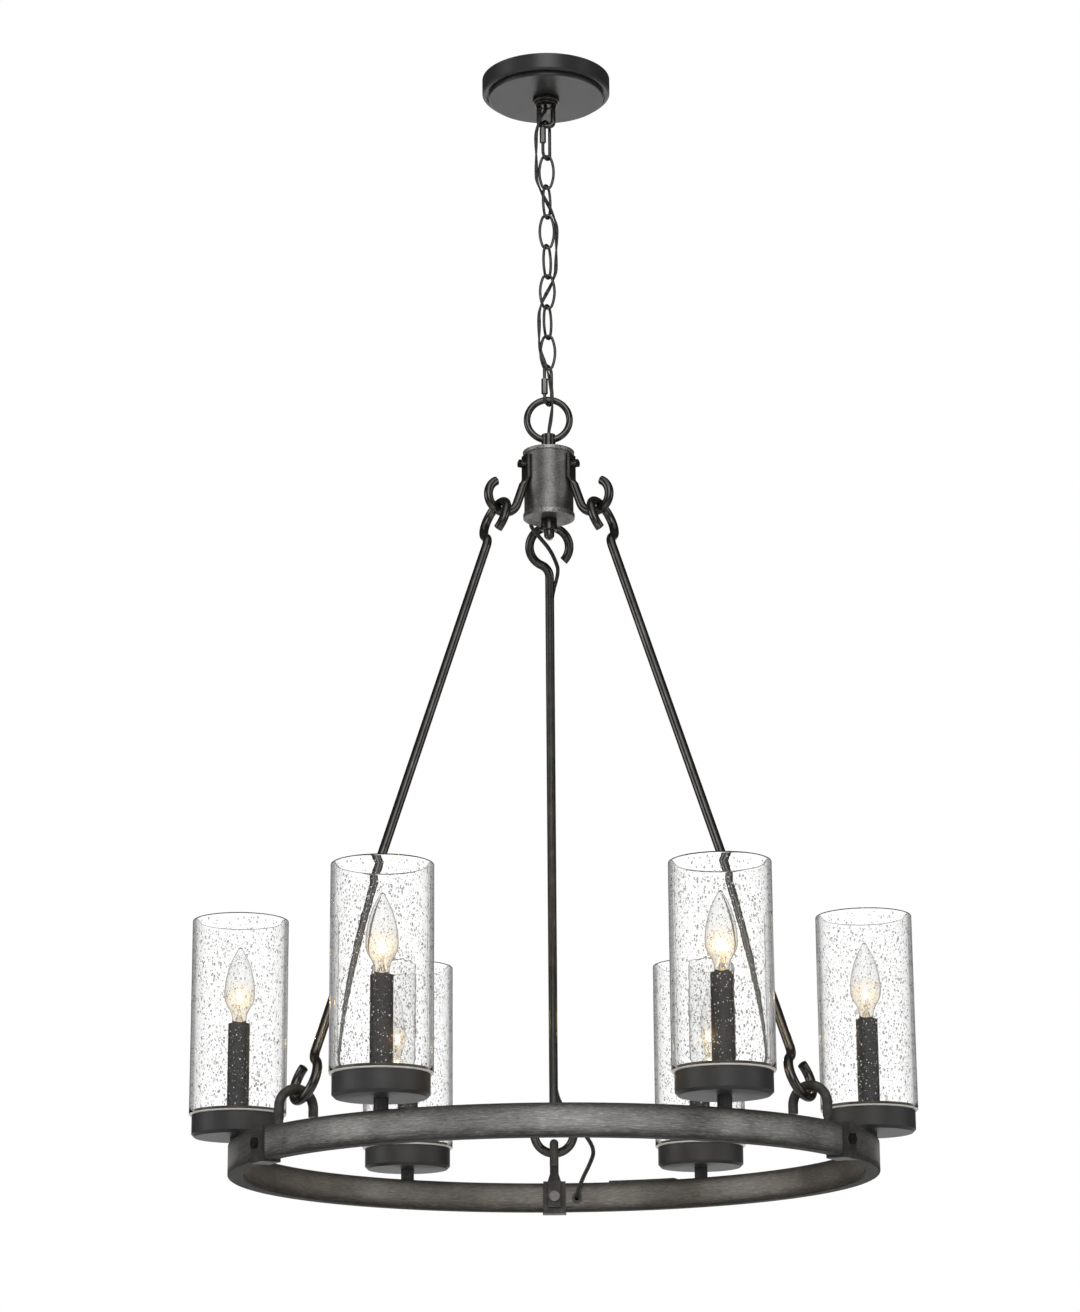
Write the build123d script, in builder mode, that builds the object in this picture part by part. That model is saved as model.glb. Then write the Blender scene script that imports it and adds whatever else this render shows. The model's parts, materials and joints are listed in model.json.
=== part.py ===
from build123d import *
import math
import os

# Outdoor chandelier: six glass lamps on a ring that hangs by three hooked rods from a hub on a chain.
# Millimetres, +Z up, origin in the middle of the canopy where it meets the ceiling.

# Fits
THREAD_GAP = 0.05
SLIP_GAP = 0.1
HANG_GAP = 0.3
RING_HOOK_PLAY = 0.8
GLASS_GAP = 0.3
CORD_GAP = 0.4

# Ceiling canopy
CANOPY_RADIUS = 69.5
CANOPY_RIM_HEIGHT = 18.3
CANOPY_HEIGHT = 22.5
CANOPY_PLATE_RADIUS = 62.7
CANOPY_SHEET = 1.2
CANOPY_EDGE = 2.0
GROOVE_WIDTH = 2.2
GROOVE_DEPTH = 1.4

# Mounting crossbar inside the canopy
CROSSBAR_LENGTH = 104.0
CROSSBAR_WIDTH = 25.0
CROSSBAR_THICKNESS = 2.5
CROSSBAR_CORNER = 5.0
BOX_SCREW_SPACING = 79.4
BOX_SLOT_LENGTH = 14.4
BOX_SLOT_WIDTH = 4.8
PIPE_RADIUS = 4.8
PIPE_BORE_RADIUS = 3.4
PIPE_NUT_FLATS = 14.0
PIPE_NUT_HEIGHT = 3.2
GROUND_SCREW_X = 21.0
GROUND_SCREW_RADIUS = 1.9
GROUND_HEAD_RADIUS = 3.8
GROUND_HEAD_HEIGHT = 2.4

# Screw collar and stirrup under the canopy
SHANK_RADIUS = 11.0
SHANK_TOP = 16.5
SHANK_BOTTOM = 33.0
PIPE_GRIP = 9.0
COLLAR_RADIUS = 14.5
COLLAR_FLANGE = 3.8
COLLAR_STEP_RADIUS = 12.8
COLLAR_HEIGHT = 7.4
COLLAR_EDGE = 0.8
STIRRUP_WIDTH = 20.6
STIRRUP_BOTTOM = 56.6
STIRRUP_BAR = 5.6
STIRRUP_DEPTH = 5.6
STIRRUP_LEG = 5.4
STIRRUP_OUTER_CORNER = 7.0
STIRRUP_INNER_CORNER = 3.0
STIRRUP_EDGE = 2.5

# Chain
LINK_WIRE = 3.0
LINK_INNER_LENGTH = 35.0
LINK_INNER_WIDTH = 12.4
LINK_END_RADIUS = 5.2
LINK_SEAM = 0.4
LINK_COUNT = 7
LINK_TWIST = 60.0
QUICK_WIRE = 3.5
QUICK_INNER_LENGTH = 40.5
QUICK_INNER_WIDTH = 11.2
QUICK_GAP = 8.0
SLEEVE_FLATS = 6.0
SLEEVE_LENGTH = 17.0
TOP_SLEEVE_RISE = 3.0
LOW_SLEEVE_RISE = -3.2

# Hub
LOOP_BAR = 7.2
LOOP_RADIUS = 22.6
LOOP_FOOT_TURN = 10.0
COUPLING_RADIUS = 7.4
COUPLING_RISE = 5.8
HUB_LOOP_DROP = 58.4
COUPLING_GRIP = 10.0
HUB_RADIUS = 26.0
HUB_WALL = 2.0
HUB_HEIGHT = 75.0
CAP_RADIUS = 27.3
CAP_HEIGHT = 4.5
CAP_SPIGOT = 3.0
BASE_RADIUS = 27.2
BASE_HEIGHT = 6.0
CAP_EDGE = 1.0
PIPE_SIDE_HOLE = 5.6
FINIAL_RADIUS = 8.5
FINIAL_HEIGHT = 12.5
FINIAL_GRIP = 8.0
KNOB_RADIUS = 5.5
KNOB_HEIGHT = 9.0
KNOB_ROUND = 3.85
FINIAL_EDGE = 1.0

# Hub hooks, in the upright plane through each rod
BAR = 9.6
ARM_ANGLES = {"back": 90.0, "left": 210.0, "right": 330.0}
ARM_SIDES = {"back": 1, "left": -1, "right": 1}
STRAP_WIDTH = 14.5
STRAP_THICKNESS = 3.2
STRAP_EDGE = 0.8
HUB_STRAP_TOP = 8.0
HUB_STRAP_LENGTH = 25.0
STRAP_BLEND = 9.0
HUB_HOOK_RADIUS = 17.6
HUB_HOOK_OUT = 55.2
HUB_HOOK_DROP = 57.8
HUB_HOOK_TIP = 62.0
HUB_BOLT_DROP = 18.5
HUB_BOLT_RADIUS = 2.5
HUB_PIN_RADIUS = 4.4
HUB_PIN_LENGTH = 6.5
HUB_NUT_FLATS = 8.0
HUB_NUT_HEIGHT = 4.0
HUB_WIRE_ANGLE = 118.0
HUB_WIRE_RISE = 13.5
BUSHING_BORE_RADIUS = 2.7
BUSHING_RADIUS = 4.0
BUSHING_FLANGE_RADIUS = 5.4
BUSHING_FLANGE = 1.4

# Rods
HOOK_SPAN = 694.9
EYE_RADIUS = 21.3
EYE_BEND_RADIUS = 14.0
EYE_TIP = -45.0

# Ring
RING_RADIUS = 325.0
RING_WIDTH = 15.4
RING_HEIGHT = 30.5
RING_WALL = 2.0
RING_EDGE = 1.6
RING_HOOK_RADIUS = 18.3
RING_HOOK_IN = 21.5
RING_HOOK_RISE = 21.5
RING_HOOK_TIP = 8.0
RING_STRAP_FOOT = 4.0
RING_BAR_RISE = 7.5
CLIP_WIDTH = 25.0
CLIP_THICKNESS = 2.5
CLIP_RISE = 1.6
CLIP_BOLT_RISE = 15.8
CLIP_BOLT_RADIUS = 2.6
CLIP_HEAD_FLATS = 10.0
CLIP_HEAD_HEIGHT = 4.2
CLIP_END_RADIUS = 5.6
CLIP_END_HEIGHT = 2.4
COVER_START = 65.5
COVER_END = 79.0
COVER_WIDTH = 12.0
COVER_THICKNESS = 1.8
WINDOW_MARGIN = 1.5
WINDOW_WIDTH = 7.0
GROMMET_X = 24.5
GROMMET_RISE = 14.0

# Lamps
LAMP_COUNT = 6
STEM_RADIUS = 7.0
STEM_HEIGHT = 11.7
CUP_RADIUS = 46.0
CUP_HEIGHT = 21.8
CUP_SHEET = 1.5
CUP_EDGE = 3.0
CUP_LIP_HEIGHT = 4.5
GLASS_RADIUS = 48.9
GLASS_WALL = 4.0
GLASS_HEIGHT = 199.0
GLASS_EDGE = 1.5
TUBE_RADIUS = 11.0
TUBE_SHEET = 1.2
TUBE_HEIGHT = 113.2
SOCKET_RECESS = 1.5
SOCKET_FLOOR = 8.0
BULB_BASE_RADIUS = 6.0
BULB_BASE_LENGTH = 22.0
BULB_LIFT = 1.0
BULB_RADIUS = 15.6
BULB_LENGTH = 79.0
BULB_NECK_RADIUS = 7.2
BULB_NECK = 4.0
BULB_BELLY = 30.0
BULB_TIP_RADIUS = 2.6
BULB_WALL = 0.8
BULB_GAP = 0.4

# Cords: where they pass beside the stirrup, the chain, the loop and the back rod
CORD_RADIUS = 2.1
BEND_SHARE = 0.45
CORD_CROSSING = 39.0
CORD_WEAVE = 19.8
STIRRUP_FRONT = (-4.2, -10.0)
STIRRUP_SIDE = (-11.2, -6.9)
LINK_FRONT = (-1.0, -9.6)
LOOP_FRONT = (5.4, -8.6)
LOOP_INSIDE = (3.0, -3.6)
CORD_TAIL = 25.0
FEED_RADIUS = 2.3
FEED_TAIL = 15.6
FEED_SIDE = 2.0
FEED_TOP_STOPS = [(-21, -3, 26), (-11.5, -16.5, 18.5), (0.5, -31, 10.5), (7, -45, 3), (10, -56, -4)]
FEED_LOW_STOPS = [(16, 34.7, -13), (38, 0, -17), (44.5, -21.3, -16.5), (39, -36.2, -14), (30, -53.2, -11.5)]


def save(piece, name):
    piece.label = name
    export_step(piece, f"parts/{name}.step")


def upright(angle, z=0.0, radius=0.0):
    # Plane through the Z axis: local X points outward, local Y points up
    a = math.radians(angle)
    out = (math.cos(a), math.sin(a), 0)
    return Plane((radius * out[0], radius * out[1], z), x_dir=out, z_dir=(math.sin(a), -math.cos(a), 0))


def outward(angle, radius, z):
    # Plane facing outward: local X along the tangent, local Y up
    a = math.radians(angle)
    return Plane(
        (radius * math.cos(a), radius * math.sin(a), z),
        x_dir=(-math.sin(a), math.cos(a), 0),
        z_dir=(math.cos(a), math.sin(a), 0),
    )


def across(path):
    return Plane(path @ 0, z_dir=path % 0)


def soft_corners(points):
    # Largest comfortable bend at each inner corner of a cord's run
    radii = []
    for before, here, after in zip(points, points[1:], points[2:]):
        run_in = Vector(here) - Vector(before)
        run_out = Vector(after) - Vector(here)
        half_turn = math.radians(run_in.get_angle(run_out)) / 2
        radii.append(BEND_SHARE * min(run_in.length, run_out.length) / math.tan(half_turn))
    return radii


def link_z(number):
    return FIRST_LINK_Z - (number - 1) * LINK_STEP


os.makedirs("parts", exist_ok=True)

# Levels and places that follow from the sizes above
STIRRUP_BAR_TOP = -STIRRUP_BOTTOM + STIRRUP_BAR
LINK_HEIGHT = LINK_INNER_LENGTH + LINK_WIRE
LINK_WIDTH = LINK_INNER_WIDTH + LINK_WIRE
QUICK_HEIGHT = QUICK_INNER_LENGTH + QUICK_WIRE
QUICK_WIDTH = QUICK_INNER_WIDTH + QUICK_WIRE
LINK_STEP = LINK_HEIGHT - LINK_WIRE - HANG_GAP
MIXED_STEP = (QUICK_WIRE + LINK_WIRE) / 2 + HANG_GAP
TOP_QUICK_Z = STIRRUP_BAR_TOP + HANG_GAP + QUICK_WIRE / 2 - QUICK_HEIGHT / 2
FIRST_LINK_Z = TOP_QUICK_Z - QUICK_HEIGHT / 2 + MIXED_STEP - LINK_HEIGHT / 2
LAST_LINK_Z = FIRST_LINK_Z - (LINK_COUNT - 1) * LINK_STEP
LOW_QUICK_Z = LAST_LINK_Z - LINK_HEIGHT / 2 + MIXED_STEP - QUICK_HEIGHT / 2
LOOP_BAR_Z = LOW_QUICK_Z - QUICK_HEIGHT / 2 + QUICK_WIRE / 2 + HANG_GAP + LOOP_BAR / 2
LOOP_Z = LOOP_BAR_Z - LOOP_RADIUS
HUB_TOP = LOOP_BAR_Z - HUB_LOOP_DROP
HUB_BOTTOM = HUB_TOP - HUB_HEIGHT
HUB_HOOK_Z = HUB_TOP - HUB_HOOK_DROP
RING_INNER = RING_RADIUS - RING_WIDTH
RING_MIDDLE = RING_RADIUS - RING_WIDTH / 2
RING_HOOK_OUT = RING_INNER - CLIP_THICKNESS - RING_HOOK_IN
HOOK_FALL = math.sqrt(HOOK_SPAN**2 - (RING_HOOK_OUT - HUB_HOOK_OUT) ** 2)
RING_HOOK_Z = HUB_HOOK_Z - HOOK_FALL
RING_TOP = RING_HOOK_Z - RING_HOOK_RISE
RING_BOTTOM = RING_TOP - RING_HEIGHT
ROD_LEAN = math.atan2(RING_HOOK_OUT - HUB_HOOK_OUT, HOOK_FALL)
ROD_TOP = HUB_HOOK_RADIUS - BAR - HANG_GAP
ROD_BOTTOM = HOOK_SPAN - (RING_HOOK_RADIUS - BAR - RING_HOOK_PLAY)
CUP_BOTTOM = RING_TOP + STEM_HEIGHT
CUP_FLOOR = CUP_BOTTOM + CUP_SHEET
GLASS_BOTTOM = CUP_BOTTOM + CUP_HEIGHT
GLASS_INNER = GLASS_RADIUS - GLASS_WALL
TUBE_TOP = CUP_FLOOR + TUBE_HEIGHT
TUBE_INNER = TUBE_RADIUS - TUBE_SHEET
SOCKET_TOP = TUBE_TOP - SOCKET_RECESS
SOCKET_RADIUS = TUBE_INNER - SLIP_GAP
BULB_Z = SOCKET_TOP + BULB_LIFT
SOCKET_BORE = BULB_BASE_LENGTH - BULB_LIFT + BULB_GAP
SOCKET_HEIGHT = SOCKET_BORE + SOCKET_FLOOR
SOCKET_BOTTOM = SOCKET_TOP - SOCKET_HEIGHT
GROMMET_ANGLE = math.degrees(math.acos(GROMMET_X / RING_INNER))

# Canopy shell: a stepped dish with a groove between the rim and the plate
GROOVE_OUTER = CANOPY_PLATE_RADIUS + GROOVE_WIDTH
with BuildPart() as canopy_shell:
    with BuildSketch(Plane.XZ):
        with BuildLine():
            Polyline(
                (CANOPY_RADIUS, 0),
                (CANOPY_RADIUS, -CANOPY_RIM_HEIGHT + CANOPY_EDGE),
                (CANOPY_RADIUS - CANOPY_EDGE, -CANOPY_RIM_HEIGHT),
                (GROOVE_OUTER, -CANOPY_RIM_HEIGHT),
                (GROOVE_OUTER, -CANOPY_RIM_HEIGHT + GROOVE_DEPTH),
                (CANOPY_PLATE_RADIUS, -CANOPY_RIM_HEIGHT + GROOVE_DEPTH),
                (CANOPY_PLATE_RADIUS, -CANOPY_HEIGHT),
                (SHANK_RADIUS + SLIP_GAP, -CANOPY_HEIGHT),
                (SHANK_RADIUS + SLIP_GAP, -CANOPY_HEIGHT + CANOPY_SHEET),
                (CANOPY_PLATE_RADIUS - CANOPY_SHEET, -CANOPY_HEIGHT + CANOPY_SHEET),
                (CANOPY_PLATE_RADIUS - CANOPY_SHEET, -CANOPY_RIM_HEIGHT + GROOVE_DEPTH + CANOPY_SHEET),
                (CANOPY_RADIUS - CANOPY_SHEET, -CANOPY_RIM_HEIGHT + GROOVE_DEPTH + CANOPY_SHEET),
                (CANOPY_RADIUS - CANOPY_SHEET, 0),
                close=True,
            )
        make_face()
    revolve(axis=Axis.Z)
    plate_edge = canopy_shell.faces().sort_by(Axis.Z)[0].edges().sort_by(SortBy.LENGTH)[-1]
    fillet(plate_edge, CANOPY_SHEET)
save(canopy_shell.part, "canopy_shell")

# Crossbar that is screwed to the ceiling box, with two slots and a threaded middle hole
with BuildPart() as crossbar:
    with BuildSketch(Plane.XY.offset(-CROSSBAR_THICKNESS)):
        RectangleRounded(CROSSBAR_LENGTH, CROSSBAR_WIDTH, CROSSBAR_CORNER)
        with Locations((-BOX_SCREW_SPACING / 2, 0), (BOX_SCREW_SPACING / 2, 0)):
            SlotOverall(BOX_SLOT_LENGTH, BOX_SLOT_WIDTH, mode=Mode.SUBTRACT)
        Circle(PIPE_RADIUS + THREAD_GAP, mode=Mode.SUBTRACT)
        with Locations((GROUND_SCREW_X, 0)):
            Circle(GROUND_SCREW_RADIUS + THREAD_GAP, mode=Mode.SUBTRACT)
    extrude(amount=CROSSBAR_THICKNESS)
save(crossbar.part, "crossbar")

# Threaded pipe from the crossbar down into the stirrup's shank
with BuildPart() as canopy_pipe:
    with BuildSketch(Plane.XY):
        Circle(PIPE_RADIUS)
        Circle(PIPE_BORE_RADIUS, mode=Mode.SUBTRACT)
    extrude(amount=-(SHANK_TOP + PIPE_GRIP))
save(canopy_pipe.part, "canopy_pipe")

# Lock nut under the crossbar, and the ground screw beside it
with BuildPart() as crossbar_fasteners:
    with BuildSketch(Plane.XY.offset(-CROSSBAR_THICKNESS)):
        RegularPolygon(PIPE_NUT_FLATS / 2, 6, major_radius=False)
        Circle(PIPE_RADIUS + THREAD_GAP, mode=Mode.SUBTRACT)
    extrude(amount=-PIPE_NUT_HEIGHT)
    with BuildSketch(Plane.XY):
        with Locations((GROUND_SCREW_X, 0)):
            Circle(GROUND_SCREW_RADIUS)
    extrude(amount=-CROSSBAR_THICKNESS)
    with BuildSketch(Plane.XY.offset(-CROSSBAR_THICKNESS)):
        with Locations((GROUND_SCREW_X, 0)):
            Circle(GROUND_HEAD_RADIUS)
    extrude(amount=-GROUND_HEAD_HEIGHT)
save(crossbar_fasteners.part, "crossbar_fasteners")

# Stirrup: threaded shank above, closed loop below for the first link
STIRRUP_TOP = -SHANK_BOTTOM + STIRRUP_BAR
STIRRUP_OPENING = STIRRUP_WIDTH - 2 * STIRRUP_LEG
with BuildPart() as canopy_stirrup:
    with BuildSketch(Plane.XZ.offset(-STIRRUP_DEPTH / 2)):
        with Locations((0, (STIRRUP_TOP - STIRRUP_BOTTOM) / 2)):
            RectangleRounded(STIRRUP_WIDTH, STIRRUP_TOP + STIRRUP_BOTTOM, STIRRUP_OUTER_CORNER)
        with Locations((0, (STIRRUP_BAR_TOP - SHANK_BOTTOM) / 2)):
            RectangleRounded(
                STIRRUP_OPENING, -SHANK_BOTTOM - STIRRUP_BAR_TOP, STIRRUP_INNER_CORNER, mode=Mode.SUBTRACT
            )
    extrude(amount=STIRRUP_DEPTH)
    fillet(canopy_stirrup.edges().filter_by(Axis.Y, reverse=True), STIRRUP_EDGE)
    with BuildSketch(Plane.XY.offset(-SHANK_TOP)):
        Circle(SHANK_RADIUS)
    extrude(amount=SHANK_TOP - SHANK_BOTTOM)
    with BuildSketch(Plane.XY.offset(-SHANK_TOP)):
        Circle(PIPE_RADIUS + THREAD_GAP)
    extrude(amount=-PIPE_GRIP, mode=Mode.SUBTRACT)
    with BuildSketch(Plane.XY.offset(-SHANK_TOP)):
        Circle(PIPE_BORE_RADIUS)
    extrude(amount=SHANK_TOP + STIRRUP_BAR_TOP, mode=Mode.SUBTRACT)
save(canopy_stirrup.part, "canopy_stirrup")

# Screw collar that holds the canopy up against the ceiling
with BuildPart() as canopy_collar:
    with BuildSketch(Plane.XY.offset(-CANOPY_HEIGHT)):
        Circle(COLLAR_RADIUS)
    extrude(amount=-COLLAR_FLANGE)
    with BuildSketch(Plane.XY.offset(-CANOPY_HEIGHT - COLLAR_FLANGE)):
        Circle(COLLAR_STEP_RADIUS)
    extrude(amount=COLLAR_FLANGE - COLLAR_HEIGHT)
    fillet(canopy_collar.edges().filter_by(GeomType.CIRCLE), COLLAR_EDGE)
    with BuildSketch(Plane.XY.offset(-CANOPY_HEIGHT)):
        Circle(SHANK_RADIUS + THREAD_GAP)
    extrude(amount=-COLLAR_HEIGHT, mode=Mode.SUBTRACT)
save(canopy_collar.part, "canopy_collar")


def quick_link(name, z, sleeve_rise):
    # Open wire link whose gap, on one leg, is closed by a threaded sleeve
    end = QUICK_WIDTH / 2
    leg = QUICK_HEIGHT / 2 - end
    plane = upright(LINK_TWIST, z)
    with BuildPart() as link:
        with BuildLine(plane) as run:
            Line((-end, sleeve_rise + QUICK_GAP / 2), (-end, leg))
            CenterArc((0, leg), end, 180, -180)
            Line((end, leg), (end, -leg))
            CenterArc((0, -leg), end, 0, -180)
            Line((-end, -leg), (-end, sleeve_rise - QUICK_GAP / 2))
        path = run.wire()
        with BuildSketch(across(path)):
            Circle(QUICK_WIRE / 2)
        sweep(path=path)
    save(link.part, name)
    with BuildPart() as sleeve:
        with BuildSketch(Plane.XY.offset(z + sleeve_rise - SLEEVE_LENGTH / 2)):
            with Locations(tuple(plane.from_local_coords((-end, 0)))[:2]):
                RegularPolygon(SLEEVE_FLATS / 2, 6, major_radius=False)
                Circle(QUICK_WIRE / 2 + THREAD_GAP, mode=Mode.SUBTRACT)
        extrude(amount=SLEEVE_LENGTH)
    save(sleeve.part, name + "_sleeve")


quick_link("top_quick_link", TOP_QUICK_Z, TOP_SLEEVE_RISE)
quick_link("low_quick_link", LOW_QUICK_Z, LOW_SLEEVE_RISE)

# Oval chain links, bent from wire with a butt seam on one side
END_RISE = LINK_HEIGHT / 2 - LINK_END_RADIUS
HALF_WIDTH = LINK_WIDTH / 2
SIDE_RADIUS = (HALF_WIDTH**2 + END_RISE**2 - LINK_END_RADIUS**2) / (2 * (HALF_WIDTH - LINK_END_RADIUS))
SIDE_SHIFT = SIDE_RADIUS - HALF_WIDTH
SIDE_TURN = math.degrees(math.atan2(END_RISE, SIDE_SHIFT))
SEAM_TURN = math.degrees(LINK_SEAM / 2 / SIDE_RADIUS)
for number in range(1, LINK_COUNT + 1):
    twist = 0 if number % 2 else LINK_TWIST
    with BuildPart() as chain_link:
        with BuildLine(upright(twist, link_z(number))) as run:
            CenterArc((-SIDE_SHIFT, 0), SIDE_RADIUS, SEAM_TURN, SIDE_TURN - SEAM_TURN)
            CenterArc((0, END_RISE), LINK_END_RADIUS, SIDE_TURN, 180 - 2 * SIDE_TURN)
            CenterArc((SIDE_SHIFT, 0), SIDE_RADIUS, 180 - SIDE_TURN, 2 * SIDE_TURN)
            CenterArc((0, -END_RISE), LINK_END_RADIUS, 180 + SIDE_TURN, 180 - 2 * SIDE_TURN)
            CenterArc((-SIDE_SHIFT, 0), SIDE_RADIUS, -SIDE_TURN, SIDE_TURN - SEAM_TURN)
        path = run.wire()
        with BuildSketch(across(path)):
            Circle(LINK_WIRE / 2)
        sweep(path=path)
    save(chain_link.part, f"chain_link_{number}")

# Hub loop: a round ring on a hollow coupling
COUPLING_TOP = LOOP_Z - LOOP_RADIUS + COUPLING_RISE
with BuildPart() as hub_loop:
    with BuildLine(Plane.XZ) as run:
        CenterArc((0, LOOP_Z), LOOP_RADIUS, LOOP_FOOT_TURN - 90, 360 - 2 * LOOP_FOOT_TURN)
    path = run.wire()
    with BuildSketch(across(path)):
        Circle(LOOP_BAR / 2)
    sweep(path=path)
    with BuildSketch(Plane.XY.offset(HUB_TOP)):
        Circle(COUPLING_RADIUS)
    extrude(amount=COUPLING_TOP - HUB_TOP)
    with BuildSketch(Plane.XY.offset(HUB_TOP)):
        Circle(PIPE_RADIUS + THREAD_GAP)
    extrude(amount=COUPLING_GRIP, mode=Mode.SUBTRACT)
    with BuildSketch(Plane.XY.offset(HUB_TOP)):
        Circle(PIPE_BORE_RADIUS)
    extrude(amount=COUPLING_TOP - HUB_TOP, mode=Mode.SUBTRACT)
save(hub_loop.part, "hub_loop")

# Hub body: tube between two caps, with bolt holes for the hooks and a side hole for the feed wire
TUBE_FOOT = HUB_BOTTOM + BASE_HEIGHT
TUBE_HEAD = HUB_TOP - CAP_HEIGHT
BOLT_Z = HUB_TOP - HUB_BOLT_DROP
WIRE_Z = HUB_BOTTOM + HUB_WIRE_RISE
with BuildPart() as hub_tube:
    with BuildSketch(Plane.XY.offset(TUBE_FOOT)):
        Circle(HUB_RADIUS)
        Circle(HUB_RADIUS - HUB_WALL, mode=Mode.SUBTRACT)
    extrude(amount=TUBE_HEAD - TUBE_FOOT)
    for angle in ARM_ANGLES.values():
        with BuildSketch(outward(angle, 0, BOLT_Z)):
            Circle(HUB_BOLT_RADIUS + SLIP_GAP)
        extrude(amount=2 * HUB_RADIUS, mode=Mode.SUBTRACT)
    with BuildSketch(outward(HUB_WIRE_ANGLE, 0, WIRE_Z)):
        Circle(BUSHING_RADIUS + THREAD_GAP)
    extrude(amount=2 * HUB_RADIUS, mode=Mode.SUBTRACT)
save(hub_tube.part, "hub_tube")

with BuildPart() as hub_cap:
    with BuildSketch(Plane.XY.offset(HUB_TOP)):
        Circle(CAP_RADIUS)
    extrude(amount=-CAP_HEIGHT)
    fillet(hub_cap.edges(), CAP_EDGE)
    with BuildSketch(Plane.XY.offset(TUBE_HEAD)):
        Circle(HUB_RADIUS - HUB_WALL - SLIP_GAP)
    extrude(amount=-CAP_SPIGOT)
    with BuildSketch(Plane.XY.offset(HUB_TOP)):
        Circle(PIPE_RADIUS + THREAD_GAP)
    extrude(amount=-CAP_HEIGHT - CAP_SPIGOT, mode=Mode.SUBTRACT)
save(hub_cap.part, "hub_cap")

with BuildPart() as hub_base:
    with BuildSketch(Plane.XY.offset(HUB_BOTTOM)):
        Circle(BASE_RADIUS)
    extrude(amount=BASE_HEIGHT)
    fillet(hub_base.edges(), CAP_EDGE)
    with BuildSketch(Plane.XY.offset(TUBE_FOOT)):
        Circle(HUB_RADIUS - HUB_WALL - SLIP_GAP)
    extrude(amount=CAP_SPIGOT)
    with BuildSketch(Plane.XY.offset(HUB_BOTTOM)):
        Circle(PIPE_RADIUS + THREAD_GAP)
    extrude(amount=BASE_HEIGHT + CAP_SPIGOT, mode=Mode.SUBTRACT)
save(hub_base.part, "hub_base")

# Threaded pipe through the hub, with a side hole where the wires leave it
with BuildPart() as hub_pipe:
    with BuildSketch(Plane.XY.offset(HUB_TOP + COUPLING_GRIP)):
        Circle(PIPE_RADIUS)
        Circle(PIPE_BORE_RADIUS, mode=Mode.SUBTRACT)
    extrude(amount=-(COUPLING_GRIP + HUB_HEIGHT + FINIAL_GRIP))
    with BuildSketch(outward(HUB_WIRE_ANGLE, 0, (HUB_TOP + HUB_BOTTOM) / 2)):
        Circle(PIPE_SIDE_HOLE / 2)
    extrude(amount=2 * PIPE_RADIUS, mode=Mode.SUBTRACT)
save(hub_pipe.part, "hub_pipe")

# Finial nut with a domed knob
with BuildPart() as hub_finial:
    with BuildSketch(Plane.XY.offset(HUB_BOTTOM)):
        Circle(FINIAL_RADIUS)
    extrude(amount=-FINIAL_HEIGHT)
    with BuildSketch(Plane.XY.offset(HUB_BOTTOM - FINIAL_HEIGHT)):
        Circle(KNOB_RADIUS)
    extrude(amount=-KNOB_HEIGHT)
    fillet(hub_finial.edges().group_by(Axis.Z)[0], KNOB_ROUND)
    fillet(hub_finial.edges().filter_by(GeomType.CIRCLE).sort_by(Axis.Z)[-2], FINIAL_EDGE)
    with BuildSketch(Plane.XY.offset(HUB_BOTTOM)):
        Circle(PIPE_RADIUS + THREAD_GAP)
    extrude(amount=-FINIAL_GRIP, mode=Mode.SUBTRACT)
save(hub_finial.part, "hub_finial")

# Hub hooks: a flattened strap bolted to the hub, drawn out into a round open hook
STRAP_TOP = HUB_TOP - HUB_STRAP_TOP
STRAP_FOOT = STRAP_TOP - HUB_STRAP_LENGTH
HUB_STRAP_MIDDLE = HUB_RADIUS + STRAP_THICKNESS / 2
HUB_BAR_START = (HUB_RADIUS + BAR / 2, STRAP_FOOT - STRAP_BLEND)
HOOK_REACH = math.hypot(HUB_HOOK_OUT - HUB_BAR_START[0], HUB_HOOK_Z - HUB_BAR_START[1])
SLANT = math.atan2(HUB_HOOK_Z - HUB_BAR_START[1], HUB_HOOK_OUT - HUB_BAR_START[0])
SLANT -= math.asin(HUB_HOOK_RADIUS / HOOK_REACH)
SLANT_LENGTH = math.sqrt(HOOK_REACH**2 - HUB_HOOK_RADIUS**2)
HOOK_ENTRY = math.degrees(SLANT) + 270
with BuildPart() as hub_hooks:
    for angle in ARM_ANGLES.values():
        with BuildLine(upright(angle)) as run:
            Line(
                HUB_BAR_START,
                (
                    HUB_BAR_START[0] + SLANT_LENGTH * math.cos(SLANT),
                    HUB_BAR_START[1] + SLANT_LENGTH * math.sin(SLANT),
                ),
            )
            CenterArc(
                (HUB_HOOK_OUT, HUB_HOOK_Z), HUB_HOOK_RADIUS, HOOK_ENTRY, 360 + HUB_HOOK_TIP - HOOK_ENTRY
            )
        path = run.wire()
        with BuildSketch(across(path)):
            Circle(BAR / 2)
        sweep(path=path)
        level = upright(angle, STRAP_FOOT, HUB_STRAP_MIDDLE)
        foot = Plane(level.origin, x_dir=level.x_dir, z_dir=(0, 0, 1))
        with BuildSketch(foot):
            RectangleRounded(STRAP_THICKNESS, STRAP_WIDTH, STRAP_EDGE)
        extrude(amount=HUB_STRAP_LENGTH)
        with BuildSketch(foot):
            RectangleRounded(STRAP_THICKNESS, STRAP_WIDTH, STRAP_EDGE)
        with BuildSketch(Plane(path @ 0, x_dir=level.z_dir, z_dir=-(path % 0))):
            Circle(BAR / 2)
        loft()
        with BuildSketch(outward(angle, 0, BOLT_Z)):
            Circle(HUB_BOLT_RADIUS + SLIP_GAP)
        extrude(amount=HUB_RADIUS + 2 * STRAP_THICKNESS, mode=Mode.SUBTRACT)
save(hub_hooks.part, "hub_hooks")

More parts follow.
